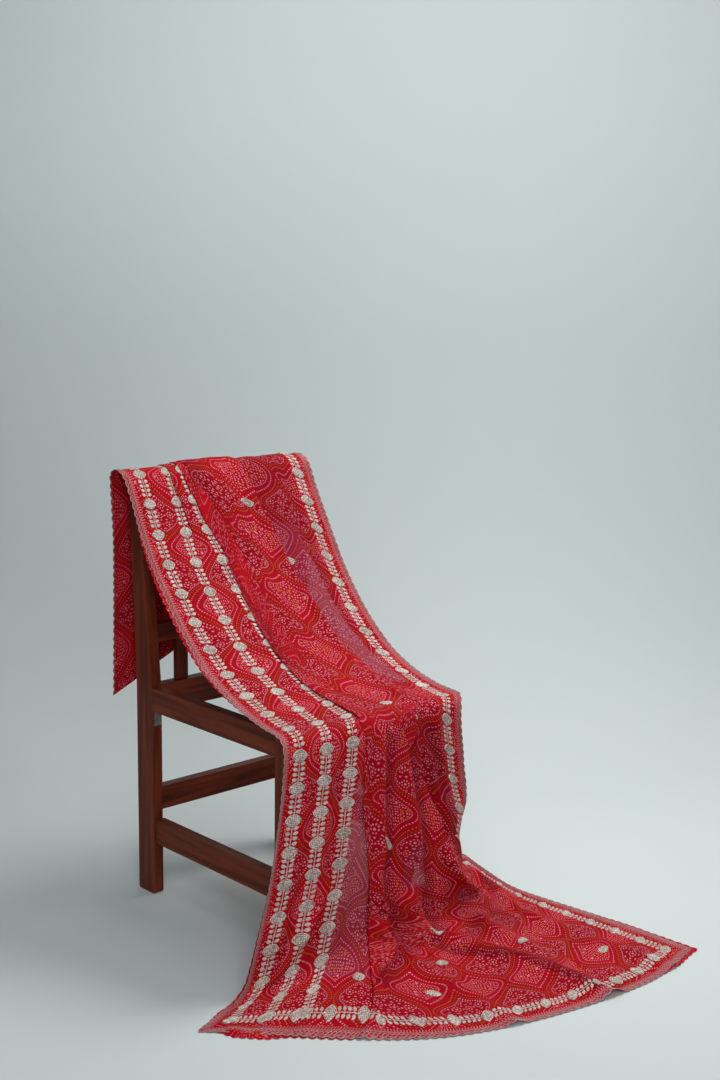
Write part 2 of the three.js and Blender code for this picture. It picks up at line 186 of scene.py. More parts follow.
def blend_colours(tree, share, first, second):
    node = add_node(tree, "ShaderNodeMix", data_type="RGBA", clamp_factor=True)
    for socket, value in (("Factor_Float", share), ("A_Color", first), ("B_Color", second)):
        put(tree, next(s for s in node.inputs if s.identifier == socket), value)
    return next(s for s in node.outputs if s.identifier == "Result_Color")


def most(tree, *masks):
    """The largest of several masks at each spot."""
    work = arithmetic(tree)
    return functools.reduce(lambda first, second: work("MAXIMUM", first, second), masks)


def flat_vector(tree, x, y):
    return add_node(tree, "ShaderNodeCombineXYZ", {"X": x, "Y": y}).outputs[0]


def noise(tree, vector, scale, detail=2.0, output="Fac", **more):
    settings = {"Vector": vector, "Scale": scale, "Detail": detail, **more}
    return add_node(tree, "ShaderNodeTexNoise", settings).outputs[output]


def split(tree, kind, value):
    """The three parts of a colour or of an XYZ vector."""
    socket = "Color" if kind == "Color" else "Vector"
    return add_node(tree, "ShaderNodeSeparate" + kind, {socket: value}).outputs


def bump(tree, height, strength, distance):
    settings = {"Height": height, "Strength": strength, "Distance": distance}
    return add_node(tree, "ShaderNodeBump", settings).outputs[0]


def start_group(name, inputs, outputs):
    """A new node group: inputs are (name, default) numbers, outputs are names of numbers."""
    tree = bpy.data.node_groups.new(name, "ShaderNodeTree")
    for socket, default in inputs:
        made = tree.interface.new_socket(name=socket, in_out="INPUT", socket_type="NodeSocketFloat")
        made.default_value = default
    for socket in outputs:
        tree.interface.new_socket(name=socket, in_out="OUTPUT", socket_type="NodeSocketFloat")
    start = tree.nodes.new("NodeGroupInput")
    end = tree.nodes.new("NodeGroupOutput")
    return tree, start.outputs, end.inputs


def use_group(tree, group, **inputs):
    node = tree.nodes.new("ShaderNodeGroup")
    node.node_tree = group
    fill(tree, node.inputs, **inputs)
    return node.outputs


def start_material(name, **fixed):
    """A material with one Principled shader, and the values that are the same all over it."""
    material = bpy.data.materials.new(name)
    material.use_nodes = True
    shader = material.node_tree.nodes["Principled BSDF"].inputs
    fill(material.node_tree, shader, **fixed)
    return material, material.node_tree, shader


# %% [markdown]
# ## The studio
#
# In a studio a roll of paper hangs behind the object and runs forward over the floor, so
# there is no line where wall meets floor. The backdrop here is the same: one sheet, swept
# round a large curve. Seen from behind it is clear, so that the object can be looked at
# from every side.
#
# Lamps alone leave the floor a little too bright, so the paper is painted with shade: darker
# low down, and most of all on the floor behind the chair at the left. That painted shade
# belongs to places in the room and stays there, whichever way one looks.

# %% Backdrop material
PAPER_TONES = ((0.76, 0.83, 0.825, 1), (0.83, 0.895, 0.89, 1))
LOW_PAINTED_SHADE = {"heights": (1.9, 0.3), "share": 0.15}
LEFT_PAINTED_SHADE = {"to_right": (0.5, -1.1), "ahead_of_eye": (2.1, 3.0), "share": 0.13}
ground_eye = Vector((eye.x, eye.y, 0))
eye_ahead = ground_eye.dot(ground_ahead)
paper, tree, shader = start_material("pale backdrop", Roughness=0.9)
work = arithmetic(tree)
seen = add_node(tree, "ShaderNodeNewGeometry").outputs


def room_distance(direction):
    """How far each spot of the paper lies in a level direction."""
    inputs = {0: seen["Position"], 1: direction}
    return add_node(tree, "ShaderNodeVectorMath", inputs, operation="DOT_PRODUCT").outputs["Value"]


tone = blend_colours(tree, noise(tree, seen["Position"], 1.1, 3.0), *PAPER_TONES)
# painted shade: the paper is darker low down, and most of all at the left behind the chair
low = step_up(tree, split(tree, "XYZ", seen["Position"])["Z"], *LOW_PAINTED_SHADE["heights"])
far_from, far_to = (eye_ahead + distance for distance in LEFT_PAINTED_SHADE["ahead_of_eye"])
far = step_up(tree, room_distance(ground_ahead), far_from, far_to)
left = step_up(tree, room_distance(level), *LEFT_PAINTED_SHADE["to_right"])
at_left = work("MULTIPLY", work("MULTIPLY", left, far), low)
painted_shade = work("MULTIPLY_ADD", low, LOW_PAINTED_SHADE["share"], work("MULTIPLY", at_left, LEFT_PAINTED_SHADE["share"]))
fill(tree, shader, Base_Color=blend_colours(tree, painted_shade, tone, (0, 0, 0, 1)))
clear = add_node(tree, "ShaderNodeBsdfTransparent").outputs[0]
painted = tree.nodes["Principled BSDF"].outputs[0]
sides = add_node(tree, "ShaderNodeMixShader", {0: seen["Backfacing"], 1: painted, 2: clear})
fill(tree, tree.nodes["Material Output"].inputs, Surface=sides.outputs[0])
print("backdrop nodes", len(tree.nodes))

# %% Backdrop
backdrop = {"near": -3.5, "bend": 3.62, "radius": 1.1, "height": 4.6, "half_width": 7.0}


def backdrop_profile():
    """(distance ahead of the camera, height) of each point of the sweep."""
    angles = np.linspace(0, math.pi / 2, 25)
    radius = backdrop["radius"]
    bend = [(backdrop["bend"] + radius * math.sin(a), radius * (1 - math.cos(a))) for a in angles]
    return [(backdrop["near"], 0), *bend, (backdrop["bend"] + radius, backdrop["height"])]


profile = backdrop_profile()
points = [
    ground_eye + ground_ahead * far + level * side * backdrop["half_width"] + Vector((0, 0, high))
    for far, high in profile
    for side in (-1, 1)
]
sweep_faces = grid_faces(len(profile), 2)[:, ::-1]
sweep = make_piece("backdrop", [tuple(p) for p in points], sweep_faces, paper)
sweep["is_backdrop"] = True

# %% [markdown]
# ## The lights
#
# Soft light comes from large lamps: the larger a lamp looks from the object, the softer
# the edge of its shadow. One large lamp stands high on the right and throws the shadow to
# the left. A wide one stands in front and fills the shade. A third hangs high and is
# turned to the wall, and the world gives the rest.

# %% Lights
LAMPS = [  # name, place, size, watts, spread in degrees, colour, what it is turned to
    ("key", (1.6, -0.3, 3.0), 1.3, 14, 88, (1.0, 0.99, 0.975), (0.05, -0.3, 0.3)),
    ("fill", (-2.1, -2.6, 2.0), 1.5, 20, 120, (0.95, 0.98, 1.0), (0, -0.1, 0.4)),
    ("wall", (0.13, -0.25, 3.0), 1.8, 15.5, 120, (1.0, 1.0, 1.0), (1.4, 1.12, 1.1)),
]


def add_lamp(name, place, size, watts, spread, colour, aim):
    lamp = bpy.data.objects.new(name, bpy.data.lights.new(name, "AREA"))
    lamp.data.size = size
    lamp.data.energy = watts
    lamp.data.color = colour
    lamp.data.spread = math.radians(spread)
    lamp.location = place
    lamp.rotation_euler = (Vector(aim) - Vector(place)).to_track_quat("-Z", "Y").to_euler()
    bpy.context.scene.collection.objects.link(lamp)
    return lamp


for lamp_row in LAMPS:
    add_lamp(*lamp_row)
world = bpy.data.worlds.new("room")
world.use_nodes = True
sky = world.node_tree.nodes["Background"].inputs
fill(world.node_tree, sky, Color=(0.85, 0.89, 0.9, 1), Strength=0.24)
bpy.context.scene.world = world
bpy.context.scene.view_settings.view_transform = "Standard"
print("lamps", [row[0] for row in LAMPS])

# %% [markdown]
# ## How the cloth lies, in tables
#
# A draped cloth could be simulated, but then its folds fall where they like. This one has
# to keep the folds of its frame, so it is worked out instead. One table says where its two
# edges run, section by section, from the rear hem over the rail to the front hem. Lengths
# there are in millimetres from the chair's corner. A second says where each long fold is,
# and a third lists soft ridges and valleys. In these two, places are on the flat cloth, in
# millimetres from its left edge. Last come the pleats of the strip with the rows.

# %% Sections
SECTIONS = [  # name, left edge, right edge, belly, where it turns aside
    ("rear hem", (-30, 94, 410), (432, 96, 620), 0, None),
    ("rear low", (-27, 95, 550), (434, 97, 690), 0, None),
    ("rear mid", (-26, 93, 720), (437, 94, 780), 0, None),
    ("rear top", (-34, 88, 845), (438, 88, 845), 0, None),
    ("rear crest", (-38, 81, 870), (439, 81, 870), 0, None),
    ("crest", (-41, 60, 880), (440, 60, 880), 0, None),
    ("rail front", (-41, 33, 868), (441, 33, 867), 0, None),
    ("swag 1", (-41, 9, 826), (442, 9, 820), 0, None),
    ("swag 2", (-41, -24, 760), (443, -29, 750), 0, None),
    ("swag 3", (-41, -63, 698), (443, -69, 682), 0, None),
    ("swag 4", (-41, -106, 644), (443, -115, 617), 0, None),
    ("swag 5", (-41, -154, 588), (443, -168, 557), 0, None),
    ("swag 6", (-41, -217, 532), (443, -230, 507), 0, None),
    ("swag 7", (-41, -278, 498), (443, -298, 472), 0, None),
    ("swag 8", (-41, -338, 473), (442, -360, 453), 0, None),
    ("seat", (-42, -402, 456), (438, -415, 446), 0, None),
    ("seat edge", (-45, -446, 450), (432, -446, 445), 0, None),
    ("lip", (-50, -466, 436), (419, -462, 430), 0, None),
    ("drop 1", (-58, -473, 395), (417, -465, 390), 0, None),
    ("drop 2", (-76, -475, 290), (433, -462, 300), 2, None),
    ("drop 3", (-97, -477, 186), (445, -457, 225), 4, (400, -474, 212)),
    ("drop 4", (-116, -479, 125), (428, -448, 165), 8, (405, -473, 150)),
    ("drop 5", (-134, -481, 74), (455, -415, 105), 12, (415, -470, 95)),
    ("bend", (-152, -484, 28), (520, -350, 45), 22, (425, -471, 45)),
    ("floor 1", (-171, -490, 8), (590, -295, 12), 35, (435, -485, 12)),
    ("floor 2", (-192, -497, 1), (635, -280, 1), 45, (445, -510, 1)),
    ("floor 3", (-213, -503, 1), (608, -375, 1), 55, (448, -560, 1)),
    ("floor 4", (-235, -510, 1), (586, -480, 1), 70, (450, -630, 1)),
    ("floor 5", (-255, -516, 1), (597, -600, 1), 83, (450, -715, 1)),
    ("floor 6", (-270, -521, 1), (612, -750, 1), 98, (446, -825, 1)),
    ("hem", (-283, -527, 1), (621, -896, 1), 110, (440, -925, 1)),
]
SECTION = {row[0]: i for i, row in enumerate(SECTIONS)}
LAST = len(SECTIONS) - 1

# %% Folds
cloth = {
    "width": 1060,
    "layer": 2.4,  # from one layer of a fold to the next
    "turn": 6.0,  # length of cloth in the round of a fold
    "least_tuck": 4,
    "open_tuck": 20,
    "deep_tuck": 30,
    "corner_at": 0.85,
    "left_strip": 190,
    "strip_fade": 30,
}
FOLDS = [  # name, side on top, stops of (section, where it meets the fold, share of the slack)
    ("second row fold", "right", [
        ("rear hem", 110, 0.06), ("rail front", 110, 0.06), ("swag 2", 115, 0.045),
        ("swag 4", 120, 0), ("hem", 120, 0),
    ]),
    ("row fold", "right", [
        ("rear hem", 188, 0.46), ("swag 3", 186, 0.46), ("swag 5", 172, 0.48),
        ("swag 7", 170, 0.48), ("seat", 190, 0.48), ("lip", 203, 0.47),
        ("drop 2", 225, 0.48), ("drop 3", 250, 0.48), ("drop 4", 270, 0.48),
        ("bend", 290, 0.48), ("floor 2", 300, 0.45), ("hem", 300, 0.45),
    ]),
    ("wide fold", "left", [
        ("rear hem", 585, 0.50), ("rail front", 585, 0.50), ("swag 3", 600, 0.50),
        ("swag 5", 620, 0.52), ("swag 7", 645, 0.52), ("seat", 650, 0.52),
        ("lip", 615, 0.53), ("drop 2", 655, 0.52), ("drop 3", 700, 0.52),
        ("drop 4", 765, 0.52), ("bend", 780, 0.52), ("hem", 780, 0.55),
    ]),
]
SPREAD = [  # how far the strip with the three rows is drawn out
    ("rear hem", 0.95), ("rail front", 0.95), ("swag 4", 1.06), ("swag 7", 1.12), ("seat", 1.08),
    ("lip", 0.93), ("floor 2", 0.97), ("hem", 0.90),
]
RIDGES = [  # name, from, place across, to, place across, width, height
    ("row valley", "rail front", 462, "swag 7", 492, 24, -7),
    ("band swell", "crest", 525, "swag 7", 565, 42, 8),
    ("wide fold roll", "crest", 568, "swag 7", 630, 17, 13),
    ("wide fold low", "swag 6", 622, "drop 2", 636, 20, 9),
    ("edge valley", "swag 1", 868, "swag 7", 900, 24, -5),
    ("right swell", "crest", 940, "seat", 950, 26, 6),
    ("row one crease", "rail front", 76, "swag 7", 78, 15, 4),
    ("right fold", "seat", 978, "drop 4", 1000, 16, 10),
    ("front fold", "lip", 532, "bend", 528, 12, 12),
    ("front fold low", "drop 4", 530, "floor 5", 350, 14, 12),
    ("second fold", "drop 1", 592, "drop 5", 642, 14, 16),
    ("second fold low", "drop 4", 640, "floor 3", 466, 15, 16),
    ("side fold", "drop 1", 955, "drop 4", 985, 13, 12),
    ("side fold low", "drop 3", 702, "floor 2", 775, 17, 16),
    ("long ridge", "floor 1", 478, "hem", 790, 23, 25),
    ("far ridge", "floor 1", 640, "floor 6", 750, 22, 15),
    ("side ridge", "floor 2", 900, "hem", 960, 22, 10),
    ("short ridge", "floor 1", 405, "hem", 575, 18, 14),
    ("row flap", "drop 3", 178, "floor 1", 50, 13, 9),
    ("gathered tip", "bend", 930, "floor 4", 960, 26, 14),
    ("hem pleat", "floor 5", 310, "hem", 300, 12, 7),
]
# soft pleats of the left strip, and how much of them there is from section to section
PLEATS = {"pitch": 68.0, "middle": 42.0, "rise": 5.6, "until": 212, "fade": 30}
PLEAT_SHARE = [
    ("seat edge", 0.0), ("drop 1", 0.7), ("drop 2", 1.0), ("drop 5", 1.0), ("floor 1", 0.4),
    ("hem", 0.15),
]
print(len(SECTIONS), "sections", len(FOLDS), "folds", len(RIDGES), "ridges")

# %% [markdown]
# ## Reading the tables smoothly
#
# Between two rows of a table the cloth passes in a smooth curve. A Hermite curve takes two
# values and two slopes. With slopes of zero at each peak it never overshoots, which keeps
# a fold from wandering past the places that the table names.

# %% Curves
def ease(x):
    t = np.clip(x, 0, 1)
    return t * t * (3 - 2 * t)


def unit(vectors):
    return vectors / np.maximum(np.linalg.norm(vectors, axis=-1, keepdims=True), 1e-9)


def hermite(a, b, slope_a, slope_b, span, t):
    return (
        (2 * t**3 - 3 * t**2 + 1) * a
        + (t**3 - 2 * t**2 + t) * span * slope_a
        + (3 * t**2 - 2 * t**3) * b
        + (t**3 - t**2) * span * slope_b
    )


def read_stops(stops, column, place):
    at = np.array([SECTION[row[0]] for row in stops], float)
    value = np.array([row[column] for row in stops], float)
    rise = np.diff(value) / np.diff(at)
    inner = np.where(rise[1:] * rise[:-1] <= 0, 0, (rise[1:] + rise[:-1]) / 2)
    slope = np.concatenate([rise[:1], inner, rise[-1:]])
    x = np.clip(place, at[0], at[-1])
    i = np.clip(np.searchsorted(at, x, side="right") - 1, 0, len(at) - 2)
    span = at[i + 1] - at[i]
    return hermite(value[i], value[i + 1], slope[i], slope[i + 1], span, (x - at[i]) / span)


def section_points():
    """The four points that the curve of each section passes through."""
    rows = []
    for _, left, right, belly, aside in SECTIONS:
        a, d = np.array(left, float), np.array(right, float)
        c = np.array(aside, float) if aside else a + (d - a) * cloth["corner_at"]
        outward = np.array([c[1] - a[1], a[0] - c[0], 0])
        outward *= belly / np.linalg.norm(outward)
        rows.append([a, (a + c) / 2 + outward, c, d])
    return np.array(rows)


def between_sections(place):
    known = section_points()
    i = np.clip(np.floor(place).astype(int), 0, LAST - 1)
    t = (place - i)[:, None, None]

    def at(step):
        return known[np.clip(i + step, 0, LAST)]

    return hermite(at(0), at(1), (at(1) - at(-1)) / 2, (at(2) - at(0)) / 2, 1, t)


# %% Curve of a section
SAMPLES = 97  # evenly spaced points along a section before it is folded


def section_curves(place):
    """For each place along the cloth, its unfolded section as even points, and its length."""
    four = between_sections(place)
    before, after = 2 * four[:, :1] - four[:, 1:2], 2 * four[:, 3:] - four[:, 2:3]
    six = np.concatenate([before, four, after], 1)
    step = np.sqrt(np.linalg.norm(np.diff(six, axis=1), axis=2))[:, :, None]
    t = np.linspace(0, 1, 40)[None, :, None]
    pieces = []
    for k in range(3):
        p0, p1, p2, p3 = (six[:, k + n] for n in range(4))
        d0, d1, d2 = (step[:, k + n] for n in range(3))
        slope_1 = ((p1 - p0) / d0 - (p2 - p0) / (d0 + d1) + (p2 - p1) / d1) * d1
        slope_2 = ((p2 - p1) / d1 - (p3 - p1) / (d1 + d2) + (p3 - p2) / d2) * d1
        ends = (x[:, None] for x in (p1, p2, slope_1, slope_2))
        pieces.append(hermite(*ends, 1, t[:, : 40 if k == 2 else 39]))
    fine = np.concatenate(pieces, 1)
    gone = np.cumsum(np.linalg.norm(np.diff(fine, axis=1), axis=2), axis=1)
    gone = np.concatenate([np.zeros((len(place), 1)), gone], 1)
    even = np.empty((len(place), SAMPLES, 3))
    for row in range(len(place)):
        wanted = np.linspace(0, gone[row, -1], SAMPLES)
        for axis in range(3):
            even[row, :, axis] = np.interp(wanted, gone[row], fine[row, :, axis])
    return even, gone[:, -1]


# %% [markdown]
# ## Folding a section
#
# A section that is shorter than the cloth is wide has slack, and the folds take it. Along
# a fold the cloth turns right round, runs back, and turns again. If its heading is an
# angle, then the cosine says how far it gets along the section and the sine how far it
# climbs. Adding those up in half-millimetre steps gives the folded profile.

# %% Folding
U_STEP = 0.5
u_fine = np.arange(0, cloth["width"] + U_STEP / 2, U_STEP)


def folds_at(place, length):
    slack = np.maximum(0, cloth["width"] - length)
    found = []
    for _, top, stops in FOLDS:
        edge = read_stops(stops, 1, place)
        tuck = np.maximum(cloth["least_tuck"], read_stops(stops, 2, place) * slack / 2)
        first = edge + tuck if top == "right" else edge
        fold = {"side": 1 if top == "right" else -1, "tuck": tuck, "first": first}
        found.append({**fold, "second": first + tuck, "turn": np.minimum(cloth["turn"], tuck / 2)})
    return found


def heading(fold, u):
    """The angle of the cloth in a fold, from 0 to a half turn."""
    column = {name: np.asarray(fold[name])[:, None] for name in ("tuck", "first", "second", "turn")}
    least = cloth["least_tuck"]
    opened = ease((column["tuck"] - least) / (cloth["open_tuck"] - least))
    into = ease((u - column["first"]) / column["turn"] + 0.5)
    out_of = ease((u - column["second"]) / column["turn"] + 0.5)
    return math.pi * opened * (into - out_of)


def folded_profile(place, folds):
    """For each fine step across the flat cloth, how far along its section and how high it lies."""
    drawn = read_stops(SPREAD, 1, place)[:, None]
    pace = 1 + (drawn - 1) * (1 - ease((u_fine - cloth["left_strip"]) / cloth["strip_fade"]))
    height = np.zeros_like(pace)
    for fold in folds:
        angle = heading(fold, u_fine)
        pace = pace * np.cos(angle)
        climb = np.cumsum(np.sin(angle), axis=1) * U_STEP
        wanted = 2 * cloth["layer"] * np.minimum(1, fold["tuck"] / cloth["deep_tuck"])
        total = np.maximum(climb[:, -1], 1e-6)
        height += fold["side"] * climb * np.minimum(1, wanted / total)[:, None]
    gone = np.cumsum((pace[:, 1:] + pace[:, :-1]) / 2, axis=1)
    along = np.concatenate([np.zeros((len(place), 1)), gone], 1)
    return along / along[:, -1:], height


def ridge_height(place, u):
    """Soft ridges: each swells over the first third of its run and dies away over the last."""
    height = np.zeros_like(u)
    for _, start, u_start, end, u_end, width, high in RIDGES:
        t = ((place - SECTION[start]) / (SECTION[end] - SECTION[start]))[:, None]
        run_out = 1 - 0.4 * t if end == "hem" else ease((1 - t) / 0.3)
        swell = np.where((t > 0) & (t <= 1), ease(t / 0.3) * run_out, 0)
        off = (u - (u_start + (u_end - u_start) * t)) / width
        height += high * swell * np.exp(-off * off)
    return height + pleat_height(place, u)


def pleat_height(place, u):
    """Soft pleats below the seat: each row of medallions lies on the side that faces left."""
    wave = 1 + np.sin((u - PLEATS["middle"]) * 2 * math.pi / PLEATS["pitch"])
    fade = 1 - ease((u - PLEATS["until"]) / PLEATS["fade"])
    return PLEATS["rise"] * read_stops(PLEAT_SHARE, 1, place)[:, None] * wave * fade


# %% [markdown]
# ## From profile to cloth
#
# Now the profile is laid on the section: each point goes along the curve by its share, and
# stands off it by its height. The direction to stand off in is the cross product of the
# cloth's run and its section, which is the surface's normal.

# %% Rows of cloth
ROWS_PER_SECTION = 12
rows_at = np.linspace(0, LAST, LAST * ROWS_PER_SECTION + 1)
curves, curve_lengths = section_curves(rows_at)
folds_there = folds_at(rows_at, curve_lengths)
along_fine, height_fine = folded_profile(rows_at, folds_there)
runs = np.gradient(curves, rows_at, axis=0)
crossings = np.gradient(curves, axis=1)
outward = unit(np.cross(runs, crossings))
print("rows", len(rows_at))
print("section lengths", curve_lengths.min().round(), "to", curve_lengths.max().round())


def lay(u, lift=None):
    """Points in millimetres for a table of places across, one row for each row of cloth.
    lift gives an extra height from the distance along the section: layers rise together."""
    points = np.empty((*u.shape, 3))
    high = ridge_height(rows_at, u)
    for row in range(len(rows_at)):
        along = np.interp(u[row], u_fine, along_fine[row])
        rise = np.interp(u[row], u_fine, height_fine[row]) + high[row]
        if lift is not None:
            rise = rise + lift(along * curve_lengths[row], row)
        along = along * (SAMPLES - 1)
        k = np.minimum(along.astype(int), SAMPLES - 2)
        t = (along - k)[:, None]
        on = curves[row, k] * (1 - t) + curves[row, k + 1] * t
        away = outward[row, k] * (1 - t) + outward[row, k + 1] * t
        points[row] = on + away * rise[:, None]
    return points


# %% Places across the cloth
STRIPS = (26, 20, 46, 60)  # columns between one fold and the next, then to the right edge
ROUND, TUCKED = 8, 4  # columns in the round of a fold, and in what is tucked under


def columns_across():
    stops, counts = [np.zeros(len(rows_at))], []
    for fold, count in zip(folds_there, STRIPS):
        half = fold["turn"] / 2
        stops += [fold[edge] + way * half for edge in ("first", "second") for way in (-1, 1)]
        counts += [count, ROUND, TUCKED, ROUND]
    stops.append(np.full(len(rows_at), float(cloth["width"])))
    counts.append(STRIPS[-1])
    runs_across = [stops[0][:, None]]
    for start, end, count in zip(stops, stops[1:], counts):
        t = np.arange(1, count + 1) / count
        runs_across.append(start[:, None] + (end - start)[:, None] * t)
    return np.concatenate(runs_across, 1)


EVEN_STEP = 2.0
u_sheet = columns_across()
even_row = np.arange(0, cloth["width"] + 1, EVEN_STEP)
even_u = np.broadcast_to(even_row, (len(rows_at), len(even_row)))


def length_from_hem(points):
    """Length of cloth from the front hem, up each column."""
    steps = np.linalg.norm(np.diff(points, axis=0), axis=2)[::-1]
    return np.concatenate([np.cumsum(steps, axis=0)[::-1], np.zeros((1, points.shape[1]))])


v_even = length_from_hem(lay(even_u))
# across the left strip the weft runs straight: every column there counts as long as row one
ROW_ONE = 42
WEFT_FADE = 380
row_one = v_even[:, [int(ROW_ONE / EVEN_STEP)]]
strip_share = 1 - ease((even_u - cloth["left_strip"]) / WEFT_FADE)
v_even = v_even + (row_one - v_even) * strip_share
print("sheet", u_sheet.shape)
print("longest column", round(v_even[0].max()), "shortest", round(v_even[0].min()))

# %% [markdown]
# ## Crumples
#
# Georgette is never quite flat. Small random waves, longer along the cloth than across it,
# break up the light. Random numbers come from a seeded generator, so that each run makes
# the same cloth. They only ever lift the cloth, so it cannot sink into the wood.

# %% Crumples
CRUMPLES = [  # size across, size along, height, seed
    (30, 150, 3.0, 3),
    (13, 50, 1.1, 5),
]
FLAT_AT_HEM = 40  # the crumples fade in over this length of cloth
lattices = {row[3]: np.random.default_rng(row[3]).random((256, 256)) for row in CRUMPLES}


def soft_noise(x, y, seed):
    """Smooth noise from 0 to 1, one value for each unit square."""
    lattice = lattices[seed]
    i, j = np.floor(x).astype(int), int(np.floor(y))
    s, t = ease(x - i), ease(y - j)

    def across(b):
        b = (j + b) % 256
        return lattice[i % 256, b] * (1 - s) + lattice[(i + 1) % 256, b] * s

    return across(0) * (1 - t) + across(1) * t


def crumple(x, row):
    """Lift of one row of cloth, from the distance along its section."""
    y = run_length[row]
    height = sum(high * soft_noise(x / wide, y / long, seed) for wide, long, high, seed in CRUMPLES)
    return height * ease(y / FLAT_AT_HEM)


run_length = v_even[:, v_even.shape[1] // 2]
v_sheet = np.array([np.interp(u_sheet[row], even_u[0], v_even[row]) for row in range(len(rows_at))])
FLOOR_GAP = 2.2  # the top layer lies this far above the floor, with the under layer beneath


def settle(points, least):
    points = points.copy()
    points[:, :, 2] = np.maximum(points[:, :, 2], least)
    return points


sheet_points = settle(lay(u_sheet, crumple), FLOOR_GAP)
even_points = settle(lay(even_u, crumple), FLOOR_GAP)


def to_metres(points):
    return points * MM + np.array(corner)


print("crumples lift", sum(row[2] for row in CRUMPLES), "mm at most")

# %% [markdown]
# ## A map of the flat cloth
#
# Everything that is sewn on is placed on the flat cloth, in millimetres across and along,
# as an embroiderer would. This map turns such a place into a point in the room, and a
# height above the cloth into a step along its normal. So a motif that is drawn flat bends
# with the folds by itself.

# %% Map of the cloth
MAP_STEP = EVEN_STEP
v_map = np.arange(0, v_even[0].max(), MAP_STEP)
cloth_map = np.empty((len(v_map), even_u.shape[1], 3))
for column in range(even_u.shape[1]):
    known = v_even[::-1, column]
    for axis in range(3):
        cloth_map[:, column, axis] = np.interp(v_map, known, even_points[::-1, column, axis])
normal_map = unit(np.cross(np.gradient(cloth_map, axis=1), np.gradient(cloth_map, axis=0)))


def length_at(u):
    """Length of the cloth, from the front hem to the rear, at a place across it."""
    return np.interp(u, even_row, v_even[0])


def on_cloth(u, v, high=0.0):
    """Points in millimetres at places on the flat cloth, lifted off it by high."""
    x = np.clip(np.asarray(u, float) / MAP_STEP, 0, even_u.shape[1] - 1.001)
    y = np.clip(np.asarray(v, float) / MAP_STEP, 0, len(v_map) - 1.001)
    i, j = y.astype(int), x.astype(int)
    s, t = (y - i)[..., None], (x - j)[..., None]

    def read(table):
        near = table[i, j] * (1 - t) + table[i, j + 1] * t
        far = table[i + 1, j] * (1 - t) + table[i + 1, j + 1] * t
        return near * (1 - s) + far * s

    return read(cloth_map) + read(normal_map) * np.asarray(high, float)[..., None]


print("map", cloth_map.shape, "of the flat cloth")

# %% [markdown]
# ## The dots
#
# In bandhani the dots follow drawn lines. Here the lines are an ogee lattice: columns of
# leaf shapes that touch at their tips, between two wavy lines. Rows of dots follow each
# outline, pale and orange. Inside every other leaf small dots stand close together, with a
# few large ones among them. The leaves between hold small flowers, each a ring of dots
# round a middle one.
#
# For the outlines, the distance from the wavy line says which row a spot is in, and the
# length along that line says which dot of the row. Both are cut into equal steps, and each
# step gets one round dot. Two materials use this, so it is a node group.

# %% Dot lattice
LEAF = {"wide": 112.0, "long": 142.0, "ring": 5.3, "lag": 0.37, "dot": 1.35}
SCATTER = {"small": 5.6, "large": 19.0, "dot": 2.8, "clear": (3.8, 4.8), "orange": 0.3}
FLOWER = {"pitch": 23.0, "petals": 8, "radius": 6.4}
HAND = {"scale": 0.015, "pull": 26.0}  # the lattice is bent: how finely, and by how much
SOFT = 0.3  # half width of the soft rim of a small dot


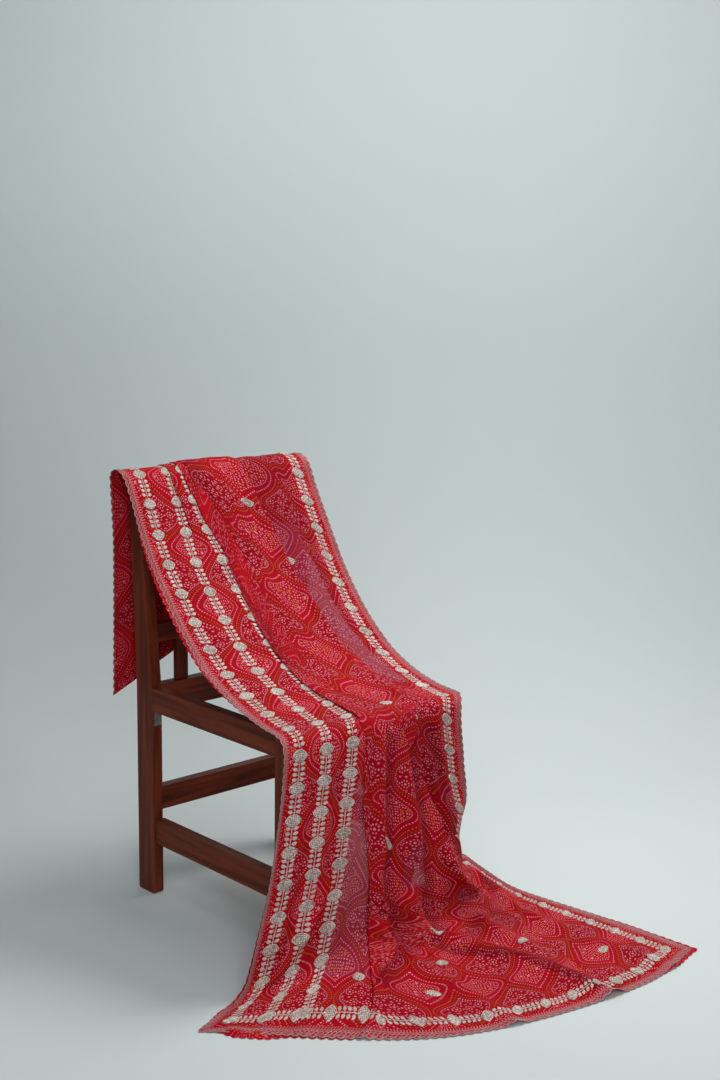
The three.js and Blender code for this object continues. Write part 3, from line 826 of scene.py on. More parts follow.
def build_dots():
    places = [("Across", 0), ("Along", 0)]
    tree, start, end = start_group("tied dots", places, ["Pale", "Orange", "Inside"])
    work = arithmetic(tree)
    tau = 2 * math.pi

    def cell(value):
        """Which step a value is in, and how far it is from the middle of the step."""
        number = work("FLOOR", value)
        return number, work("SUBTRACT", work("SUBTRACT", value, number), 0.5)

    def length(p, q):
        return work("SQRT", work("MULTIPLY_ADD", p, p, work("MULTIPLY", q, q)))

    def dot_of(radius, distance, soft=SOFT):
        return step_up(tree, distance, radius + soft, radius - soft)

    # the hand that ties the knots is not exact, so the lattice is bent a little
    flat = flat_vector(tree, start["Across"], start["Along"])
    pulls = split(tree, "Color", noise(tree, flat, HAND["scale"], 0.0, "Color"))
    x, y = (
        work("MULTIPLY_ADD", work("SUBTRACT", pulls[k], 0.5), HAND["pull"], start[name])
        for k, name in enumerate(("Across", "Along"))
    )

    a = work("DIVIDE", x, LEAF["wide"])
    b = work("DIVIDE", y, LEAF["long"])
    nearest = work("ROUND", a)
    off_middle = work("ABSOLUTE", work("SUBTRACT", a, nearest))
    half_width = work("MULTIPLY_ADD", work("COSINE", work("MULTIPLY", b, tau)), 0.25, 0.25)
    aside = work("MULTIPLY", work("SUBTRACT", half_width, off_middle), LEAF["wide"])
    steepest = tau * LEAF["wide"] / (4 * LEAF["long"])
    slope = work("MULTIPLY", work("SINE", work("MULTIPLY", b, tau)), steepest)
    distance = work("DIVIDE", aside, work("SQRT", work("MULTIPLY_ADD", slope, slope, 1.0)))

    # length along the wavy line, from the mean and the swing of its stretch
    longest = math.sqrt(1 + steepest**2)
    mean, swing = (1 + longest) / 2 + 0.01, (longest - 1) / 2
    wobble = work("MULTIPLY", work("SINE", work("MULTIPLY", b, 2 * tau)), -swing / (2 * tau))
    line_length = work("MULTIPLY", work("MULTIPLY_ADD", b, mean, wobble), LEAF["long"])
    line_length = work("MULTIPLY_ADD", distance, slope, line_length)

    # each ring starts a little further on than the last, so that no spokes form
    ring, from_ring = cell(work("DIVIDE", distance, LEAF["ring"]))
    place = work("DIVIDE", line_length, LEAF["ring"])
    dot, from_dot = cell(work("MULTIPLY_ADD", ring, LEAF["lag"], place))
    from_centre = work("MULTIPLY", length(from_ring, from_dot), LEAF["ring"])
    ring_dots = dot_of(LEAF["dot"], from_centre)
    which = add_node(tree, "ShaderNodeCombineXYZ", {"X": ring, "Y": dot, "Z": nearest}).outputs[0]
    luck = add_node(tree, "ShaderNodeTexWhiteNoise", {"Vector": which}, noise_dimensions="3D")

    def is_ring(number):
        return work("COMPARE", ring, float(number), 0.1)

    # which ring is what: the line is pale and orange, then one ring is left out
    filled = work("GREATER_THAN", ring, 3.5)
    orange_line = work("MULTIPLY_ADD", is_ring(-2), 0.4, is_ring(-1))
    pale_line = work("ADD", work("ADD", is_ring(1), is_ring(3)), is_ring(-3))
    flower_zone = work("LESS_THAN", ring, -3.5)

    # inside a leaf small dots stand close together, and keep clear of a few large ones
    bent = flat_vector(tree, x, y)

    def seeds(pitch, randomness):
        """How far the nearest of some scattered seeds is, and a number drawn for it."""
        settings = {"Vector": bent, "Scale": 1 / pitch, "Randomness": randomness}
        found = add_node(tree, "ShaderNodeTexVoronoi", settings, voronoi_dimensions="2D").outputs
        return work("MULTIPLY", found["Distance"], pitch), split(tree, "Color", found["Color"])[0]

    from_small, _ = seeds(SCATTER["small"], 0.35)
    from_large, large_luck = seeds(SCATTER["large"], 0.7)
    clear = step_up(tree, from_large, *SCATTER["clear"])
    small_dots = work("MULTIPLY", dot_of(LEAF["dot"], from_small), clear)
    large_dots = work("MULTIPLY", dot_of(SCATTER["dot"], from_large, 0.6), filled)
    is_orange = work("GREATER_THAN", large_luck, SCATTER["orange"])
    orange = most(
        tree,
        work("MULTIPLY", ring_dots, orange_line),
        work("MULTIPLY", large_dots, is_orange),
    )
    pale = most(
        tree,
        work("MULTIPLY", ring_dots, pale_line),
        work("MULTIPLY", small_dots, filled),
        work("MULTIPLY", large_dots, work("SUBTRACT", 1.0, is_orange)),
    )

    # flowers: every other row is shifted by half a flower
    row, up = cell(work("DIVIDE", y, FLOWER["pitch"]))
    odd = work("MULTIPLY", work("FLOORED_MODULO", row, 2.0), 0.5)
    _, over = cell(work("ADD", work("DIVIDE", x, FLOWER["pitch"]), odd))
    local_x, local_y = (work("MULTIPLY", part, FLOWER["pitch"]) for part in (over, up))
    radius = length(local_x, local_y)
    angle = work("MULTIPLY", work("ARCTAN2", local_y, local_x), FLOWER["petals"] / tau)
    _, off_petal = cell(angle)
    from_petal = work("MULTIPLY", off_petal, tau * FLOWER["radius"] / FLOWER["petals"])
    from_circle = work("SUBTRACT", radius, FLOWER["radius"])
    corner_x, corner_y = (
        work("SUBTRACT", work("ABSOLUTE", part), FLOWER["pitch"] / 2) for part in (local_x, local_y)
    )
    flowers = most(
        tree,
        dot_of(LEAF["dot"] - 0.05, length(from_petal, from_circle), 0.35),
        dot_of(2.0, radius, 0.4),
        dot_of(2.4, length(corner_x, corner_y), 0.5),
        dot_of(1.65, length(corner_x, local_y), 0.35),
    )
    pale = most(tree, pale, work("MULTIPLY", flowers, flower_zone))

    uneven = work("MULTIPLY_ADD", luck.outputs["Value"], 0.45, 0.7)
    fill(tree, end, Pale=work("MINIMUM", work("MULTIPLY", pale, uneven), 1.0), Orange=orange)
    fill(tree, end, Inside=step_up(tree, distance, -2.0, 2.0))
    return tree


tied_dots = build_dots()
print("tied dots:", len(tied_dots.nodes), "nodes")

# %% [markdown]
# ## The worked edge
#
# A band of silvery thread runs just inside the cut edge, which is scalloped. The thread
# lies in two waves that cross, with straight lines beside them. All of it depends on how
# far a spot is from the nearest edge, and how far along that edge it is, so the same few
# nodes serve the two long sides and the hem. The cloth outside the scallops is made clear.

# %% Worked edge
EDGE = {
    # millimetres inward from the straight edge; thread_in counts from the scalloped cut
    "deep": 3.0, "thread_in": 1.3, "wave_at": 8.0, "wave": 3.0,
    "line_1": 13.2, "line_2": 19.2, "band": 20.0,
    # millimetres along the edge, from one to the next
    "scallop": 16.0, "tick": 5.4,
    # the net of slanting stitches: radians in a millimetre, share of the ground it covers
    "net": 2.4, "net_share": 0.22,
}


def build_worked_edge():
    names = [("Across", 0), ("Along", 0), ("Width", float(cloth["width"]))]
    tree, start, end = start_group("worked edge", names, ["Thread", "Kept", "Band"])
    work = arithmetic(tree)
    across, along = start["Across"], start["Along"]
    from_side = work("MINIMUM", across, work("SUBTRACT", start["Width"], across))
    from_edge = work("MINIMUM", from_side, along)
    at_hem = work("LESS_THAN", along, from_side)
    beside = work("MULTIPLY", along, work("SUBTRACT", 1.0, at_hem))
    along_edge = work("MULTIPLY_ADD", across, at_hem, beside)
    phase = work("MULTIPLY", along_edge, math.pi / EDGE["scallop"])
    dip = work("SUBTRACT", 1.0, work("ABSOLUTE", work("SINE", phase)))
    cut = work("MULTIPLY", dip, EDGE["deep"])

    def line(centre, half):
        away = work("ABSOLUTE", work("SUBTRACT", from_edge, centre))
        return step_up(tree, away, half + 0.35, half - 0.35)

    def up_to(place, soft=0.4):
        return step_up(tree, from_edge, place + soft, place - soft)

    swing = work("MULTIPLY", work("SINE", work("MULTIPLY", phase, 2.0)), EDGE["wave"])
    # short stitches reach inward from the inner line, side by side
    beat = work("SINE", work("MULTIPLY", along_edge, 2 * math.pi / EDGE["tick"]))
    past_line = step_up(tree, from_edge, EDGE["line_1"] - 0.2, EDGE["line_1"] + 0.2)
    reach = work("MULTIPLY", up_to(EDGE["line_2"]), past_line)
    # between the lines the ground is part covered by a net of slanting stitches
    rising = work("SINE", work("MULTIPLY", work("ADD", along_edge, from_edge), EDGE["net"]))
    falling = work("SINE", work("MULTIPLY", work("SUBTRACT", along_edge, from_edge), EDGE["net"]))
    net = step_up(tree, work("MULTIPLY", rising, falling), -0.25, 0.35)
    thread = most(
        tree,
        line(work("ADD", cut, EDGE["thread_in"]), 1.5),
        line(work("ADD", swing, EDGE["wave_at"]), 0.9),
        line(work("SUBTRACT", EDGE["wave_at"], swing), 0.9),
        line(EDGE["line_1"], 0.9),
        work("MULTIPLY", step_up(tree, beat, -0.1, 0.5), reach),
        work("MULTIPLY", work("MULTIPLY", net, up_to(EDGE["line_1"])), EDGE["net_share"]),
    )
    kept = step_up(tree, work("SUBTRACT", from_edge, cut), -0.2, 0.2)
    fill(tree, end, Thread=thread, Kept=kept, Band=up_to(EDGE["band"], 0.6))
    return tree


worked_edge = build_worked_edge()
print("worked edge:", len(worked_edge.nodes), "nodes")

# %% [markdown]
# ## Crepe weave
#
# Georgette is woven from hard-twisted yarn, which gives it a fine pebbled face. At arm's
# length it only softens the light, so a little bump is enough: yarns in both directions,
# each pushed about by noise.

# %% Crepe weave
def build_crepe():
    names = [("Across", 0), ("Along", 0), ("Yarn", 0.7)]
    tree, start, end = start_group("crepe weave", names, ["Height"])
    work = arithmetic(tree)
    shake = noise(tree, flat_vector(tree, start["Across"], start["Along"]), 0.8)
    shake = work("MULTIPLY", shake, 9.0)
    rate = work("DIVIDE", 2 * math.pi, start["Yarn"])
    warp, weft = (
        work("SINE", work("ADD", work("MULTIPLY", start[name], rate), shake))
        for name in ("Across", "Along")
    )
    fill(tree, end, Height=work("MULTIPLY", work("ADD", warp, weft), 0.25))
    return tree


crepe_weave = build_crepe()


def flat_places(tree):
    """Millimetres across and along the flat cloth, from its UV map, which is in metres."""
    parts = split(tree, "XYZ", add_node(tree, "ShaderNodeUVMap", uv_map="flat").outputs[0])
    work = arithmetic(tree)
    return [work("MULTIPLY", parts[name], 1 / MM) for name in ("X", "Y")]


print("crepe weave:", len(crepe_weave.nodes), "nodes")

# %% [markdown]
# ## The two layers of georgette
#
# The cloth is doubled. The top layer carries the thread work. The under layer is the same
# cloth with bare edges, and it stops short in a few places, which a short table names.
# There the top layer is alone, and on the real cloth what is behind shows through it as a
# mauve tint. Here the top layer lets 6 % of what is behind it through, and the tint is
# painted. Seen from the dark side against a bright floor, that 6 % makes these places pale.
#
# Two more tables darken the dye, and both are painted shade: one where fewer layers lie over
# the dark behind them, in one valley and at the foot of the drop, the other in a strip beside
# some folds. Soft light shows such shallow folds only faintly, so they are helped, and the
# price is that they stay dark whatever the lamps do.

# %% Cloth material
RED = (0.465, 0.002, 0.013, 1)
DEEP_RED = (0.26, 0.001, 0.009, 1)
PALE_DOT = (0.84, 0.28, 0.34, 1)
ORANGE_DOT = (0.68, 0.13, 0.02, 1)
THREAD = (0.43, 0.19, 0.2, 1)
MAUVE = (0.30, 0.016, 0.05, 1)
PAINTED_SHADE_RED = (0.21, 0.001, 0.010, 1)


BARE_PATCHES = [  # along from and to; left side at from and at to; right side at from and at to
    (1335, 1730, 880, 905, 1003, 962),
    (125, 480, 172, 192, 300, 246),
    (560, 650, 590, 610, 648, 640),
]
THIN_SHADE_PATCHES = [  # the same, painted shade: fewer layers over the dark behind, one valley, the drop's foot
    (1310, 2040, 760, 770, 1000, 1000),
    (1000, 1750, 420, 425, 478, 498),
    (1480, 2040, 124, 128, 164, 168),
    (860, 1180, 900, 925, 1000, 1004),
    (330, 520, 600, 640, 800, 780),
]
FOLD_SHADES = [  # the same, for painted shade: crisp at the left, fading to the right
    (490, 860, 538, 538, 562, 568),
    (130, 500, 368, 536, 396, 564),
    (570, 870, 648, 598, 672, 626),
    (320, 575, 500, 648, 530, 674),
    (930, 1160, 980, 958, 1002, 985),
    (505, 690, 858, 710, 890, 738),
    (200, 330, 664, 492, 700, 524),
    (10, 205, 766, 662, 800, 698),
]
# how far the ground is turned, and to which colour: in the two kinds of painted shade, where alone
TINTS = [(0.62, PAINTED_SHADE_RED), (0.8, PAINTED_SHADE_RED), (0.7, MAUVE)]
THIN_SHADE_SOFT, SHADE_SOFT = (16.0, 16.0), (2.5, 18.0)  # of their left and right sides


def in_patches(tree, across, along, patches=BARE_PATCHES, soft=1.5, soft_right=1.5):
    """1 inside the patches, 0 elsewhere; soft is half the width of the left side's step."""
    work = arithmetic(tree)
    masks = []
    for start, end, left_start, left_end, right_start, right_end in patches:
        share = work("DIVIDE", work("SUBTRACT", along, start), end - start)
        left = work("MULTIPLY_ADD", share, left_end - left_start, left_start)
        right = work("MULTIPLY_ADD", share, right_end - right_start, right_start)
        inside = step_up(tree, work("SUBTRACT", across, left), -soft, soft)
        for edge in (
            step_up(tree, work("SUBTRACT", right, across), -soft_right, soft_right),
            step_up(tree, along, start - 4 * soft, start + 4 * soft),
            step_up(tree, along, end + 2 * soft, end - 2 * soft),
        ):
            inside = work("MULTIPLY", inside, edge)
        masks.append(inside)
    return most(tree, *masks)


def dyed(tree, across, along, strength, alone):
    """Base colour of the dyed cloth: two reds, painted shade, mauve where it is alone, two kinds of
    dots.
    """
    work = arithmetic(tree)
    dots = use_group(tree, tied_dots, Across=across, Along=along)
    uneven = noise(tree, flat_vector(tree, across, along), 0.012, 3.0)
    uneven = work("MULTIPLY_ADD", dots["Inside"], 0.35, uneven)
    ground = blend_colours(tree, uneven, DEEP_RED, RED)
    # painted shade: the thin places and the strips beside folds darken the dye
    thin_and_shaded = in_patches(tree, across, along, THIN_SHADE_PATCHES, *THIN_SHADE_SOFT)
    shade = in_patches(tree, across, along, FOLD_SHADES, *SHADE_SOFT)
    for mask, (share, colour) in zip((thin_and_shaded, shade, alone), TINTS):
        ground = blend_colours(tree, work("MULTIPLY", mask, share), ground, colour)
    dark = most(tree, thin_and_shaded, work("MULTIPLY", shade, 1.5))
    strength = work("MULTIPLY_ADD", dark, -0.3, strength)  # the dots are dimmer in the painted shade as well
    with_pale = blend_colours(tree, work("MULTIPLY", dots["Pale"], strength), ground, PALE_DOT)
    return blend_colours(tree, work("MULTIPLY", dots["Orange"], strength), with_pale, ORANGE_DOT)


def weave_bump(tree, across, along, raised, strength):
    weave = use_group(tree, crepe_weave, Across=across, Along=along)
    height = arithmetic(tree)("MULTIPLY_ADD", raised, 1.2, weave["Height"])
    return bump(tree, height, strength, 0.0003)


def build_top_cloth():
    material, tree, shader = start_material("dyed georgette", Specular_IOR_Level=0.06)
    work = arithmetic(tree)
    across, along = flat_places(tree)
    edge = use_group(tree, worked_edge, Across=across, Along=along)
    ground = dyed(tree, across, along, 0.95, in_patches(tree, across, along))
    colour = blend_colours(tree, edge["Band"], ground, RED)
    # painted glints: noise makes the thread's colour stronger in patches
    painted_glints = noise(tree, flat_vector(tree, across, along), 0.35)
    worked = work("MULTIPLY", edge["Thread"], work("MULTIPLY_ADD", painted_glints, 1.5, 0.1))
    sheer = work("MULTIPLY_ADD", work("SUBTRACT", 1.0, edge["Band"]), -0.05, 0.99)
    fill(
        tree,
        shader,
        Base_Color=blend_colours(tree, work("MINIMUM", worked, 1.0), colour, THREAD),
        Roughness=work("MULTIPLY_ADD", edge["Thread"], -0.25, 0.72),
        Metallic=work("MULTIPLY", edge["Thread"], 0.3),
        Alpha=work("MULTIPLY", edge["Kept"], sheer),
        Normal=weave_bump(tree, across, along, edge["Thread"], 0.5),
    )
    return material


def build_under_cloth():
    fixed = {"Specular_IOR_Level": 0.06, "Roughness": 0.78}
    material, tree, shader = start_material("under georgette", **fixed)
    work = arithmetic(tree)
    across, along = flat_places(tree)
    edge = use_group(tree, worked_edge, Across=across, Along=along)
    there = work("SUBTRACT", 1.0, in_patches(tree, across, along))
    fill(
        tree,
        shader,
        Base_Color=dyed(tree, across, along, 0.5, 0.0),
        Alpha=work("MULTIPLY", edge["Kept"], there),
        Normal=weave_bump(tree, across, along, 0.0, 0.4),
    )
    return material


top_cloth, under_cloth = build_top_cloth(), build_under_cloth()
print("cloth nodes:", [len(made.node_tree.nodes) for made in (top_cloth, under_cloth)])

# %% [markdown]
# ## The sheets
#
# The top sheet is the grid of points, with its flat place kept in a UV map in metres. A
# second map runs from 0 to 1, for anyone who bakes the pattern into a picture. The under
# sheet follows the top one a little below it, and reaches past its edges here and there,
# where its plain scallops peep out.

# %% Top sheet
def cloth_piece(name, points, u, v, material):
    piece = make_piece(name, to_metres(points).reshape(-1, 3), grid_faces(*u.shape), material)
    flat = np.stack([u * MM, v * MM], -1).reshape(-1, 2)
    give_map(piece, "flat", flat)
    whole = np.array([cloth["width"] * MM, v.max() * MM]) + 0.04
    give_map(piece, "OFBake", flat / whole + 0.008)
    return piece


def grid_normals(points):
    return unit(np.cross(np.gradient(points, axis=1), -np.gradient(points, axis=0)))


top_sheet = cloth_piece("top_sheet", sheet_points, u_sheet, v_sheet, top_cloth)

# %% Under sheet
UNDER = {"below": 0.9, "floor": 0.5, "every": 2, "fade": 70, "hem_fade": 110}
PEEPS = [  # how far the under sheet shows past the top one: section, at the left, at the right
    ("rear hem", -3, -3), ("swag 1", -3, -3), ("swag 2", 2, -3), ("swag 4", 7, -3),
    ("swag 6", 5, -3), ("seat", -2, -3), ("drop 2", -3, -3), ("drop 5", 4, 5),
    ("floor 2", 8, 12), ("floor 4", 4, 4), ("hem", -3, 10),
]
HEM_PEEP = [  # place across, how far
    (0, -4), (40, 0), (70, 14), (130, 16), (175, 4),
    (270, 2), (330, -5), (900, -4), (980, 8), (1060, 9),
]


def peep_out():
    """The top sheet's points, dropped beneath it and drawn past its edges."""
    normals = grid_normals(sheet_points)
    points = sheet_points - normals * UNDER["below"]
    to_right = cloth["width"] - u_sheet
    left = read_stops(PEEPS, 1, rows_at)[:, None] * ease(1 - u_sheet / UNDER["fade"])
    right = read_stops(PEEPS, 2, rows_at)[:, None] * ease(1 - to_right / UNDER["fade"])
    points += unit(np.gradient(sheet_points, axis=1)) * (right - left)[..., None]
    hem = np.interp(u_sheet, *np.array(HEM_PEEP, float).T) * ease(1 - v_sheet / UNDER["hem_fade"])
    return points + unit(np.gradient(sheet_points, axis=0)) * hem[..., None]


pick = np.s_[:: UNDER["every"], :]
under_points = settle(peep_out(), UNDER["floor"])[pick]
under_sheet = cloth_piece("under_sheet", under_points, u_sheet[pick], v_sheet[pick], under_cloth)

for sheet in (top_sheet, under_sheet):
    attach(sheet, "root")
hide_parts("cloth")

# %% [markdown]
# ## Sewn work
#
# Each motif is drawn once, flat, as a small mesh in millimetres. A table then says where on
# the cloth it goes, which way it points and how large it is. Stamping it means: turn it,
# move it, and look every point up in the map of the cloth.

# %% Stamping
def stamp(points, faces, places):
    """Copies of a flat motif. Each place is (across, along, angle, size across, size along)."""
    u, v, angle, wide, long = np.array(places, float).T[:, :, None]
    dx, dy, high = np.array(points, float).T
    dx, dy = dx * wide, dy * long
    c, s = np.cos(angle), np.sin(angle)
    high = np.broadcast_to(high, (len(places), len(points)))
    laid = on_cloth(u + dx * c - dy * s, v + dx * s + dy * c, high).reshape(-1, 3)
    shift = np.arange(len(places)) * len(points)
    return laid, [[corner_at + n for corner_at in face] for n in shift.tolist() for face in faces]


def join_stamps(name, stamped, material):
    """One piece from several lots of stamped motifs."""
    points, faces, count = [], [], 0
    for laid, made in stamped:
        points.append(laid)
        faces += [[k + count for k in face] for face in made]
        count += len(laid)
    piece = make_piece(name, to_metres(np.concatenate(points)), faces, material)
    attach(piece, "root")
    return piece


# %% Drawn motifs
MEDALLION = {"half_wide": 12.6, "half_long": 11.4}
RINGS = [(0.97, 0.25), (0.95, 1.0), (0.45, 1.25), (0.001, 1.35)]  # radius, height
RIM = [(1.0, 0.2), (0.98, 1.3), (0.88, 1.5), (0.85, 0.9)]


def oval(rings, half_wide, half_long, segments=28, tip=0.2):
    """Rings one inside the next, with a small point at each side."""
    turns = np.linspace(0, 2 * math.pi, segments, endpoint=False)
    reach = 1 + tip * np.abs(np.cos(turns)) ** 10
    points = [
        (half_wide * r * n * math.cos(t), half_long * r * math.sin(t), high)
        for r, high in rings
        for t, n in zip(turns, reach)
    ]
    faces = []
    for ring in range(len(rings) - 1):
        for k in range(segments):
            a, b = ring * segments + k, ring * segments + (k + 1) % segments
            faces.append([a, b, b + segments, a + segments])
    return points, faces


def basket(half_wide, half_long, step=3.3, high=1.2, reach=6):
    """Short raised stitches that turn by a quarter from one to the next, inside an oval."""
    points, faces = [], []
    half = step * 0.43
    for i in range(-reach, reach + 1):
        for j in range(-reach, reach + 1):
            x, y = i * step, j * step
            if (x / half_wide) ** 2 + (y / half_long) ** 2 > 0.8:
                continue
            k = len(points)
            along_x = (i + j) % 2 == 0
            for side, rise in ((-1, 0), (0, 1), (1, 0)):
                for end in (-1, 1):
                    dx, dy = (end, side) if along_x else (side, -end)
                    points.append((x + dx * half, y + dy * half, high + rise))
            faces += [[k, k + 1, k + 3, k + 2], [k + 2, k + 3, k + 5, k + 4]]
            faces += [[k, k + 2, k + 4], [k + 1, k + 5, k + 3]]
    return points, faces


LEAF_OUTLINE = [  # share of the length, share of the width; the first two are the stalk
    (0.0, 0.12), (0.26, 0.14), (0.36, 0.75), (0.54, 1.0), (0.72, 0.9), (0.88, 0.6), (1.0, 0.1),
]


def ridge_faces(count):
    """Faces of a ridge whose points come in threes: one side, the crest, the other side."""
    faces = []
    for k in range(0, 3 * count - 3, 3):
        faces += [[k + 1, k, k + 3, k + 4], [k + 2, k + 1, k + 4, k + 5]]
    return faces


def leaf(length, half, tilt):
    """A leaf on a short stalk that leans away from the stem, with a raised vein."""
    c, s = math.cos(tilt), math.sin(tilt)
    points = []
    for t, share in LEAF_OUTLINE:
        for side, high in ((-1, 0.35), (0, 0.9), (1, 0.35)):
            x, y = t * length, side * share * half
            points.append((x * c - y * s, x * s + y * c, high))
    return points, ridge_faces(len(LEAF_OUTLINE))


def mirrored(points, faces):
    return [(-x, y, high) for x, y, high in points], [face[::-1] for face in faces]


medallion_dome, medallion_rim = oval(RINGS, **MEDALLION), oval(RIM, **MEDALLION)
medallion_weave = basket(**MEDALLION)
right_leaf = leaf(length=12.0, half=3.3, tilt=math.radians(16))
left_leaf = mirrored(*right_leaf)
medallion_faces = sum(len(made[1]) for made in (medallion_dome, medallion_rim, medallion_weave))
print("medallion", medallion_faces, "faces; leaf", len(right_leaf[1]))

# %% [markdown]
# ## Where the motifs go
#
# Three rows of medallions run along the left edge, one along the right, and one along the
# hem. All keep about the same pitch, and the rows meet in the corners. Between two
# medallions stands a stem with pairs of leaves. Small ovals are scattered over the middle,
# well apart, each at its own place and a little turned.

# %% Places
PITCH = 61.0
HEM_ROW = 42.0
LEFT_ROW = [(0, 44), (9, 570), (14, 900), (20, 1292), (27, 1738)]
RIGHT_ROW = [(0, 42), (5, 334), (15, 992), (29, 1887), (34, 2200)]
# place across; then numbers of medallions and their places along, with the rest even between
LONG_ROWS = [(42, LEFT_ROW), (110, LEFT_ROW), (178, LEFT_ROW), (1018, RIGHT_ROW)]
LEAF_STEPS = (-15.2, -5.7, 3.7, 13.2)  # where a pair of leaves grows, from the stem's middle
STEM_HALF = 19.5
BUTI_SIZE = (0.95, 0.82)  # across and along, as shares of a medallion
BUTIS = [  # place across, place along, angle in degrees
    (786, 1624, 10), (905, 1640, 12), (320, 950, 8), (564, 938, 5), (925, 1160, -6),
    (250, 636, 14), (544, 640, -5), (292, 400, 4), (526, 354, -8), (522, 246, 12),
    (274, 120, 8), (470, 128, -12), (812, 406, 10), (716, 246, 6), (918, 138, -8),
    (420, 1310, 9), (610, 1830, -7), (860, 2010, 6), (330, 1560, -4), (560, 1500, 8),
]


def long_rows():
    """Places of medallions and of what stands between them, as (across, along, angle)."""
    medallions, gaps = [], []
    for u, known in LONG_ROWS:
        numbers = np.arange(known[-1][0] + 1)
        along = np.interp(numbers, *np.array(known, float).T)
        medallions += [(u, v, 0.0) for v in along]
        gaps += [(u, v, 0.0) for v in (along[1:] + along[:-1]) / 2]
    first, last = LONG_ROWS[0][0], LONG_ROWS[-1][0]
    across = np.linspace(first, last, round((last - first) / PITCH) + 1)
    medallions += [(u, HEM_ROW, math.pi / 2) for u in across[1:-1]]
    gaps += [(u, HEM_ROW, math.pi / 2) for u in (across[1:] + across[:-1]) / 2]
    return medallions, gaps


medallion_places, gap_places = long_rows()


def shifted(places, step):
    """The same places, moved along their row by a step."""
    return [(u + step * math.sin(-a), v + step * math.cos(a), a) for u, v, a in places]


# %% Sew the rows
leaf_places = [place for step in LEAF_STEPS for place in shifted(gap_places, step)]


def sized(places, wide=1.0, long=1.0):
    return [(*place, wide, long) for place in places]


def stem(half_length, count=9, half=0.75):
    """A thin raised line along a row."""
    points = []
    for y in np.linspace(-half_length, half_length, count).tolist():
        points += [(-half, y, 0.3), (0.0, y, 1.1), (half, y, 0.3)]
    return points, ridge_faces(count)


# %% [markdown]
# ## Gota
#
# Gota is ribbon woven with flat silvery wire. Close up it is a bright metal, but its many
# small bends scatter the light, so it is rougher than a sheet of metal. Each stitch catches
# the light differently. That is painted as glints: each stitch gets a brighter or duller
# colour at random, and the duller ones also stand for stitches that have gone dull.

# %% Gota material
def build_gota(name, bright, dull, roughness, metallic, grain, contrast):
    material, tree, shader = start_material(name, Metallic=metallic)
    work = arithmetic(tree)
    place = add_node(tree, "ShaderNodeTexCoord").outputs["Object"]
    stitches = add_node(tree, "ShaderNodeTexVoronoi", {"Vector": place, "Scale": grain})
    chance = split(tree, "Color", stitches.outputs["Color"])
    # painted glints and tarnish: each stitch is brighter or duller at random
    spread = work("MULTIPLY", work("SUBTRACT", chance[0], 0.5), contrast)
    share = work("ADD", spread, noise(tree, place, 30.0, 3.0))
    fill(
        tree,
        shader,
        Base_Color=blend_colours(tree, share, bright, dull),
        Roughness=work("MULTIPLY_ADD", chance[1], 0.25, roughness),
        Normal=bump(tree, noise(tree, place, 900.0), 0.5, 0.0004),
    )
    return material


GOTAS = [  # name, bright, dull, roughness, metallic, grain, contrast
    ("gota", (0.84, 0.77, 0.70, 1), (0.31, 0.22, 0.19, 1), 0.36, 0.4, 430.0, 1.0),
    ("gota leaf", (0.70, 0.62, 0.56, 1), (0.42, 0.30, 0.27, 1), 0.5, 0.2, 420.0, 0.8),
    ("gota backing", (0.34, 0.18, 0.16, 1), (0.16, 0.06, 0.055, 1), 0.5, 0.3, 420.0, 0.6),
    ("zari thread", (0.52, 0.31, 0.30, 1), (0.32, 0.11, 0.12, 1), 0.5, 0.25, 420.0, 0.8),
]
gota, leaf_gota, backing, zari = (build_gota(*row) for row in GOTAS)
print("gota and zari", len(gota.node_tree.nodes), "nodes each")

# %% Sew
buti_places = [(u, v, math.radians(degrees), *BUTI_SIZE) for u, v, degrees in BUTIS]
ovals = sized(medallion_places) + buti_places
join_stamps("medallions", [stamp(*medallion_dome, ovals)], backing)
worked = [stamp(*motif, ovals) for motif in (medallion_weave, medallion_rim)]
join_stamps("gota_stitches", worked, gota)
sprays = [stamp(*motif, sized(leaf_places)) for motif in (right_leaf, left_leaf)]
sprays.append(stamp(*stem(STEM_HALF), sized(gap_places)))
join_stamps("leaves", sprays, leaf_gota)
print(len(medallion_places), "medallions,", 2 * len(leaf_places), "leaves")
print(len(buti_places), "small ovals")

# %% [markdown]
# ## Raised thread
#
# The scallops and the two crossing waves of the worked edge are couched cords, so they
# stand up from the cloth. They follow the same sines as the pattern under them.

# %% Cords
def raised_line(u, v, aside_u, aside_v, half, high):
    lines = [
        on_cloth(u + aside_u * half * k, v + aside_v * half * k, np.full(len(u), rise))
        for k, rise in ((-1, 0.15), (0, high), (1, 0.15))
    ]
    faces = grid_faces(len(u), 3).tolist()
    return np.stack(lines, 1).reshape(-1, 3), faces


def edge_lines(away, half, high, step=2.0, short=4):
    """A cord that stays near the edge, up both sides and along the hem."""
    wide = cloth["width"]
    made = []
    for side in (0, 1):
        start = float(away(np.zeros(1))[0])
        along = np.arange(start, float(length_at(side * wide)) - short, step)
        across = away(along) if side == 0 else wide - away(along)
        made.append(raised_line(across, along, 1.0, 0.0, half, high))
    across = np.arange(start, wide - start, step)
    made.append(raised_line(across, away(across), 0.0, 1.0, half, high))
    return made


def scallops(e):
    cut = EDGE["deep"] * (1 - np.abs(np.sin(np.pi * e / EDGE["scallop"])))
    return cut + EDGE["thread_in"]


def wave(side, e):
    return EDGE["wave_at"] + side * EDGE["wave"] * np.sin(2 * np.pi * e / EDGE["scallop"])


cords = edge_lines(scallops, half=1.0, high=1.3)
for side in (-1, 1):
    cords += edge_lines(functools.partial(wave, side), half=0.8, high=1.2)
join_stamps("zari_cords", cords, zari)

# %% [markdown]
# ## The chair
#
# The chair is plain and polished, of a dark reddish wood. Grain runs along each piece, so
# the same grain group is read with its three directions swapped for posts, cross rails and
# side rails. A small bevel rounds every edge, as sandpaper would.

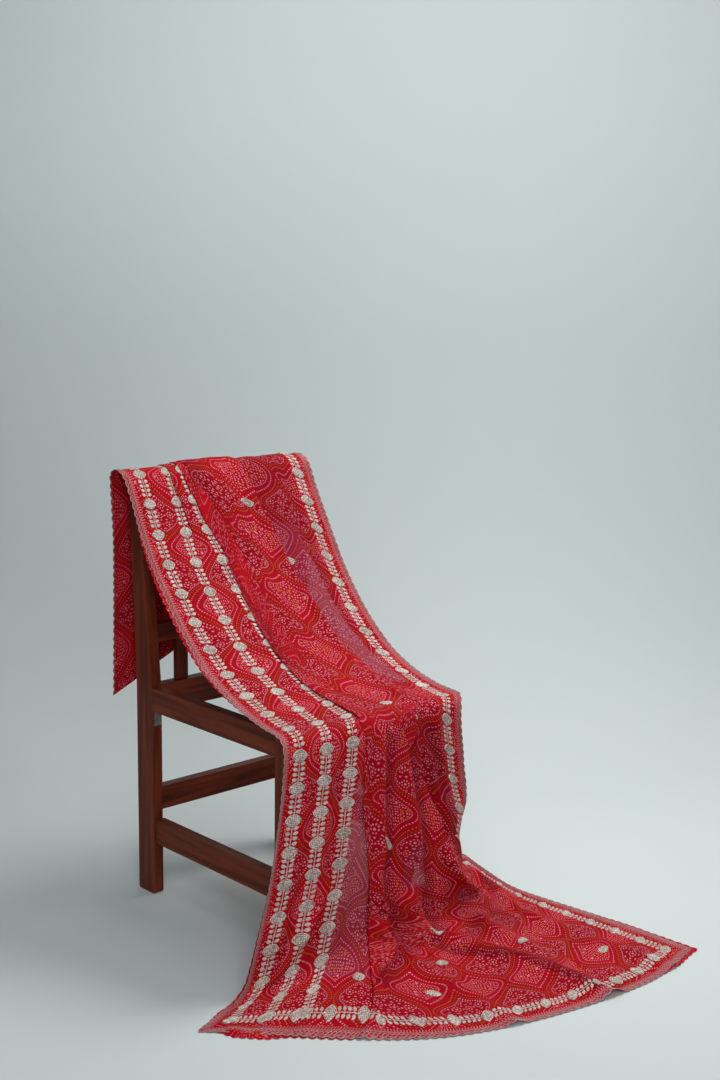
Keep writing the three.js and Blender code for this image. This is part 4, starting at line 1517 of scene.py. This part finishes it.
# %% Wood grain
def build_grain():
    names = [("Along", 0), ("Across", 0), ("Deep", 0)]
    tree, start, end = start_group("wood grain", names, ["Streak", "Pore", "Patch"])
    work = arithmetic(tree)

    def stretched(along, across, scale, detail, distortion=0.0):
        far = {"X": ("Along", along), "Y": ("Across", across), "Z": ("Deep", across)}
        axes = {axis: work("MULTIPLY", start[name], rate) for axis, (name, rate) in far.items()}
        vector = add_node(tree, "ShaderNodeCombineXYZ", axes).outputs[0]
        return noise(tree, vector, scale, detail, Distortion=distortion)

    fill(
        tree,
        end,
        Streak=step_up(tree, stretched(1.4, 22.0, 3.0, 6.0, 0.6), 0.32, 0.68),
        Pore=step_up(tree, stretched(6.0, 120.0, 8.0, 2.0), 0.56, 0.72),
        Patch=stretched(2.5, 5.0, 1.6, 3.0),
    )
    return tree


wood_grain = build_grain()


WOOD = {
    "late": (0.10, 0.0155, 0.006, 1),
    "early": (0.26, 0.047, 0.016, 1),
    "patch": (0.075, 0.013, 0.006, 1),
    "pore": (0.022, 0.006, 0.004, 1),
}


def build_wood(name, order):
    """Polished wood whose grain runs along the first axis named in order."""
    polish = {"Coat_Weight": 0.04, "Coat_Roughness": 0.3, "Specular_IOR_Level": 0.14}
    material, tree, shader = start_material(name, **polish)
    work = arithmetic(tree)
    parts = split(tree, "XYZ", add_node(tree, "ShaderNodeTexCoord").outputs["Object"])
    along, across, deep = (parts[axis] for axis in order)
    grain = use_group(tree, wood_grain, Along=along, Across=across, Deep=deep)
    colour = blend_colours(tree, grain["Streak"], WOOD["late"], WOOD["early"])
    for mask, share, darker in (("Patch", 0.6, "patch"), ("Pore", 0.55, "pore")):
        colour = blend_colours(tree, work("MULTIPLY", grain[mask], share), colour, WOOD[darker])
    height = work("MULTIPLY_ADD", grain["Pore"], -1.0, work("MULTIPLY", grain["Streak"], 0.4))
    fill(
        tree,
        shader,
        Base_Color=colour,
        Roughness=work("MULTIPLY_ADD", grain["Patch"], 0.3, 0.3),
        Normal=bump(tree, height, 0.25, 0.0006),
    )
    return material


upright_wood = build_wood("wood, upright grain", ("Z", "X", "Y"))
cross_wood = build_wood("wood, cross grain", ("X", "Z", "Y"))
side_wood = build_wood("wood, side grain", ("Y", "X", "Z"))
print("wood grain", len(wood_grain.nodes), "nodes, three materials")

# %% Steel
def build_steel():
    material, tree, shader = start_material("galvanised steel", Metallic=0.85)
    place = add_node(tree, "ShaderNodeTexCoord").outputs["Object"]
    flakes = add_node(tree, "ShaderNodeTexVoronoi", {"Vector": place, "Scale": 160.0})
    chance = split(tree, "Color", flakes.outputs["Color"])
    light, dark = (0.42, 0.43, 0.45, 1), (0.25, 0.26, 0.28, 1)
    fill(
        tree,
        shader,
        Base_Color=blend_colours(tree, chance[0], light, dark),
        Roughness=arithmetic(tree)("MULTIPLY_ADD", chance[1], 0.2, 0.38),
        Normal=bump(tree, noise(tree, place, 700.0), 0.15, 0.0002),
    )
    return material


# %% Finish the chair
BEVEL = {"wood": 0.0014, "steel": 0.0004}
FINISHES = {
    upright_wood: [
        "rear_post_left", "rear_post_right", "front_leg_left", "front_leg_right",
        "back_slat_1", "back_slat_2", "back_slat_3", "back_slat_4",
    ],
    cross_wood: [
        "top_rail", "cross_rail_upper", "cross_rail_lower",
        "seat_rail_front", "seat_rail_rear", "rear_stretcher",
    ],
    side_wood: [
        "seat_rail_left", "seat_rail_right", "side_stretcher_left", "side_stretcher_right",
    ],
    build_steel(): ["seat_bracket"],
}
for material, names in FINISHES.items():
    for name in names:
        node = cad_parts[name]
        node.data.materials.clear()
        node.data.materials.append(material)
        bevel = node.modifiers.new("sanded edge", "BEVEL")
        bevel.width = BEVEL["steel"] if name == "seat_bracket" else BEVEL["wood"]
        bevel.segments = 2
        bevel.limit_method = "ANGLE"
        bevel.harden_normals = True
print(sum(len(names) for names in FINISHES.values()), "pieces of the chair finished")

# %% Sizes and finish
shown_low, shown_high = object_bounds()
growth = (shown_high - shown_low) - (cad_high - cad_low)
print("grew by", [round(length, 4) for length in growth])
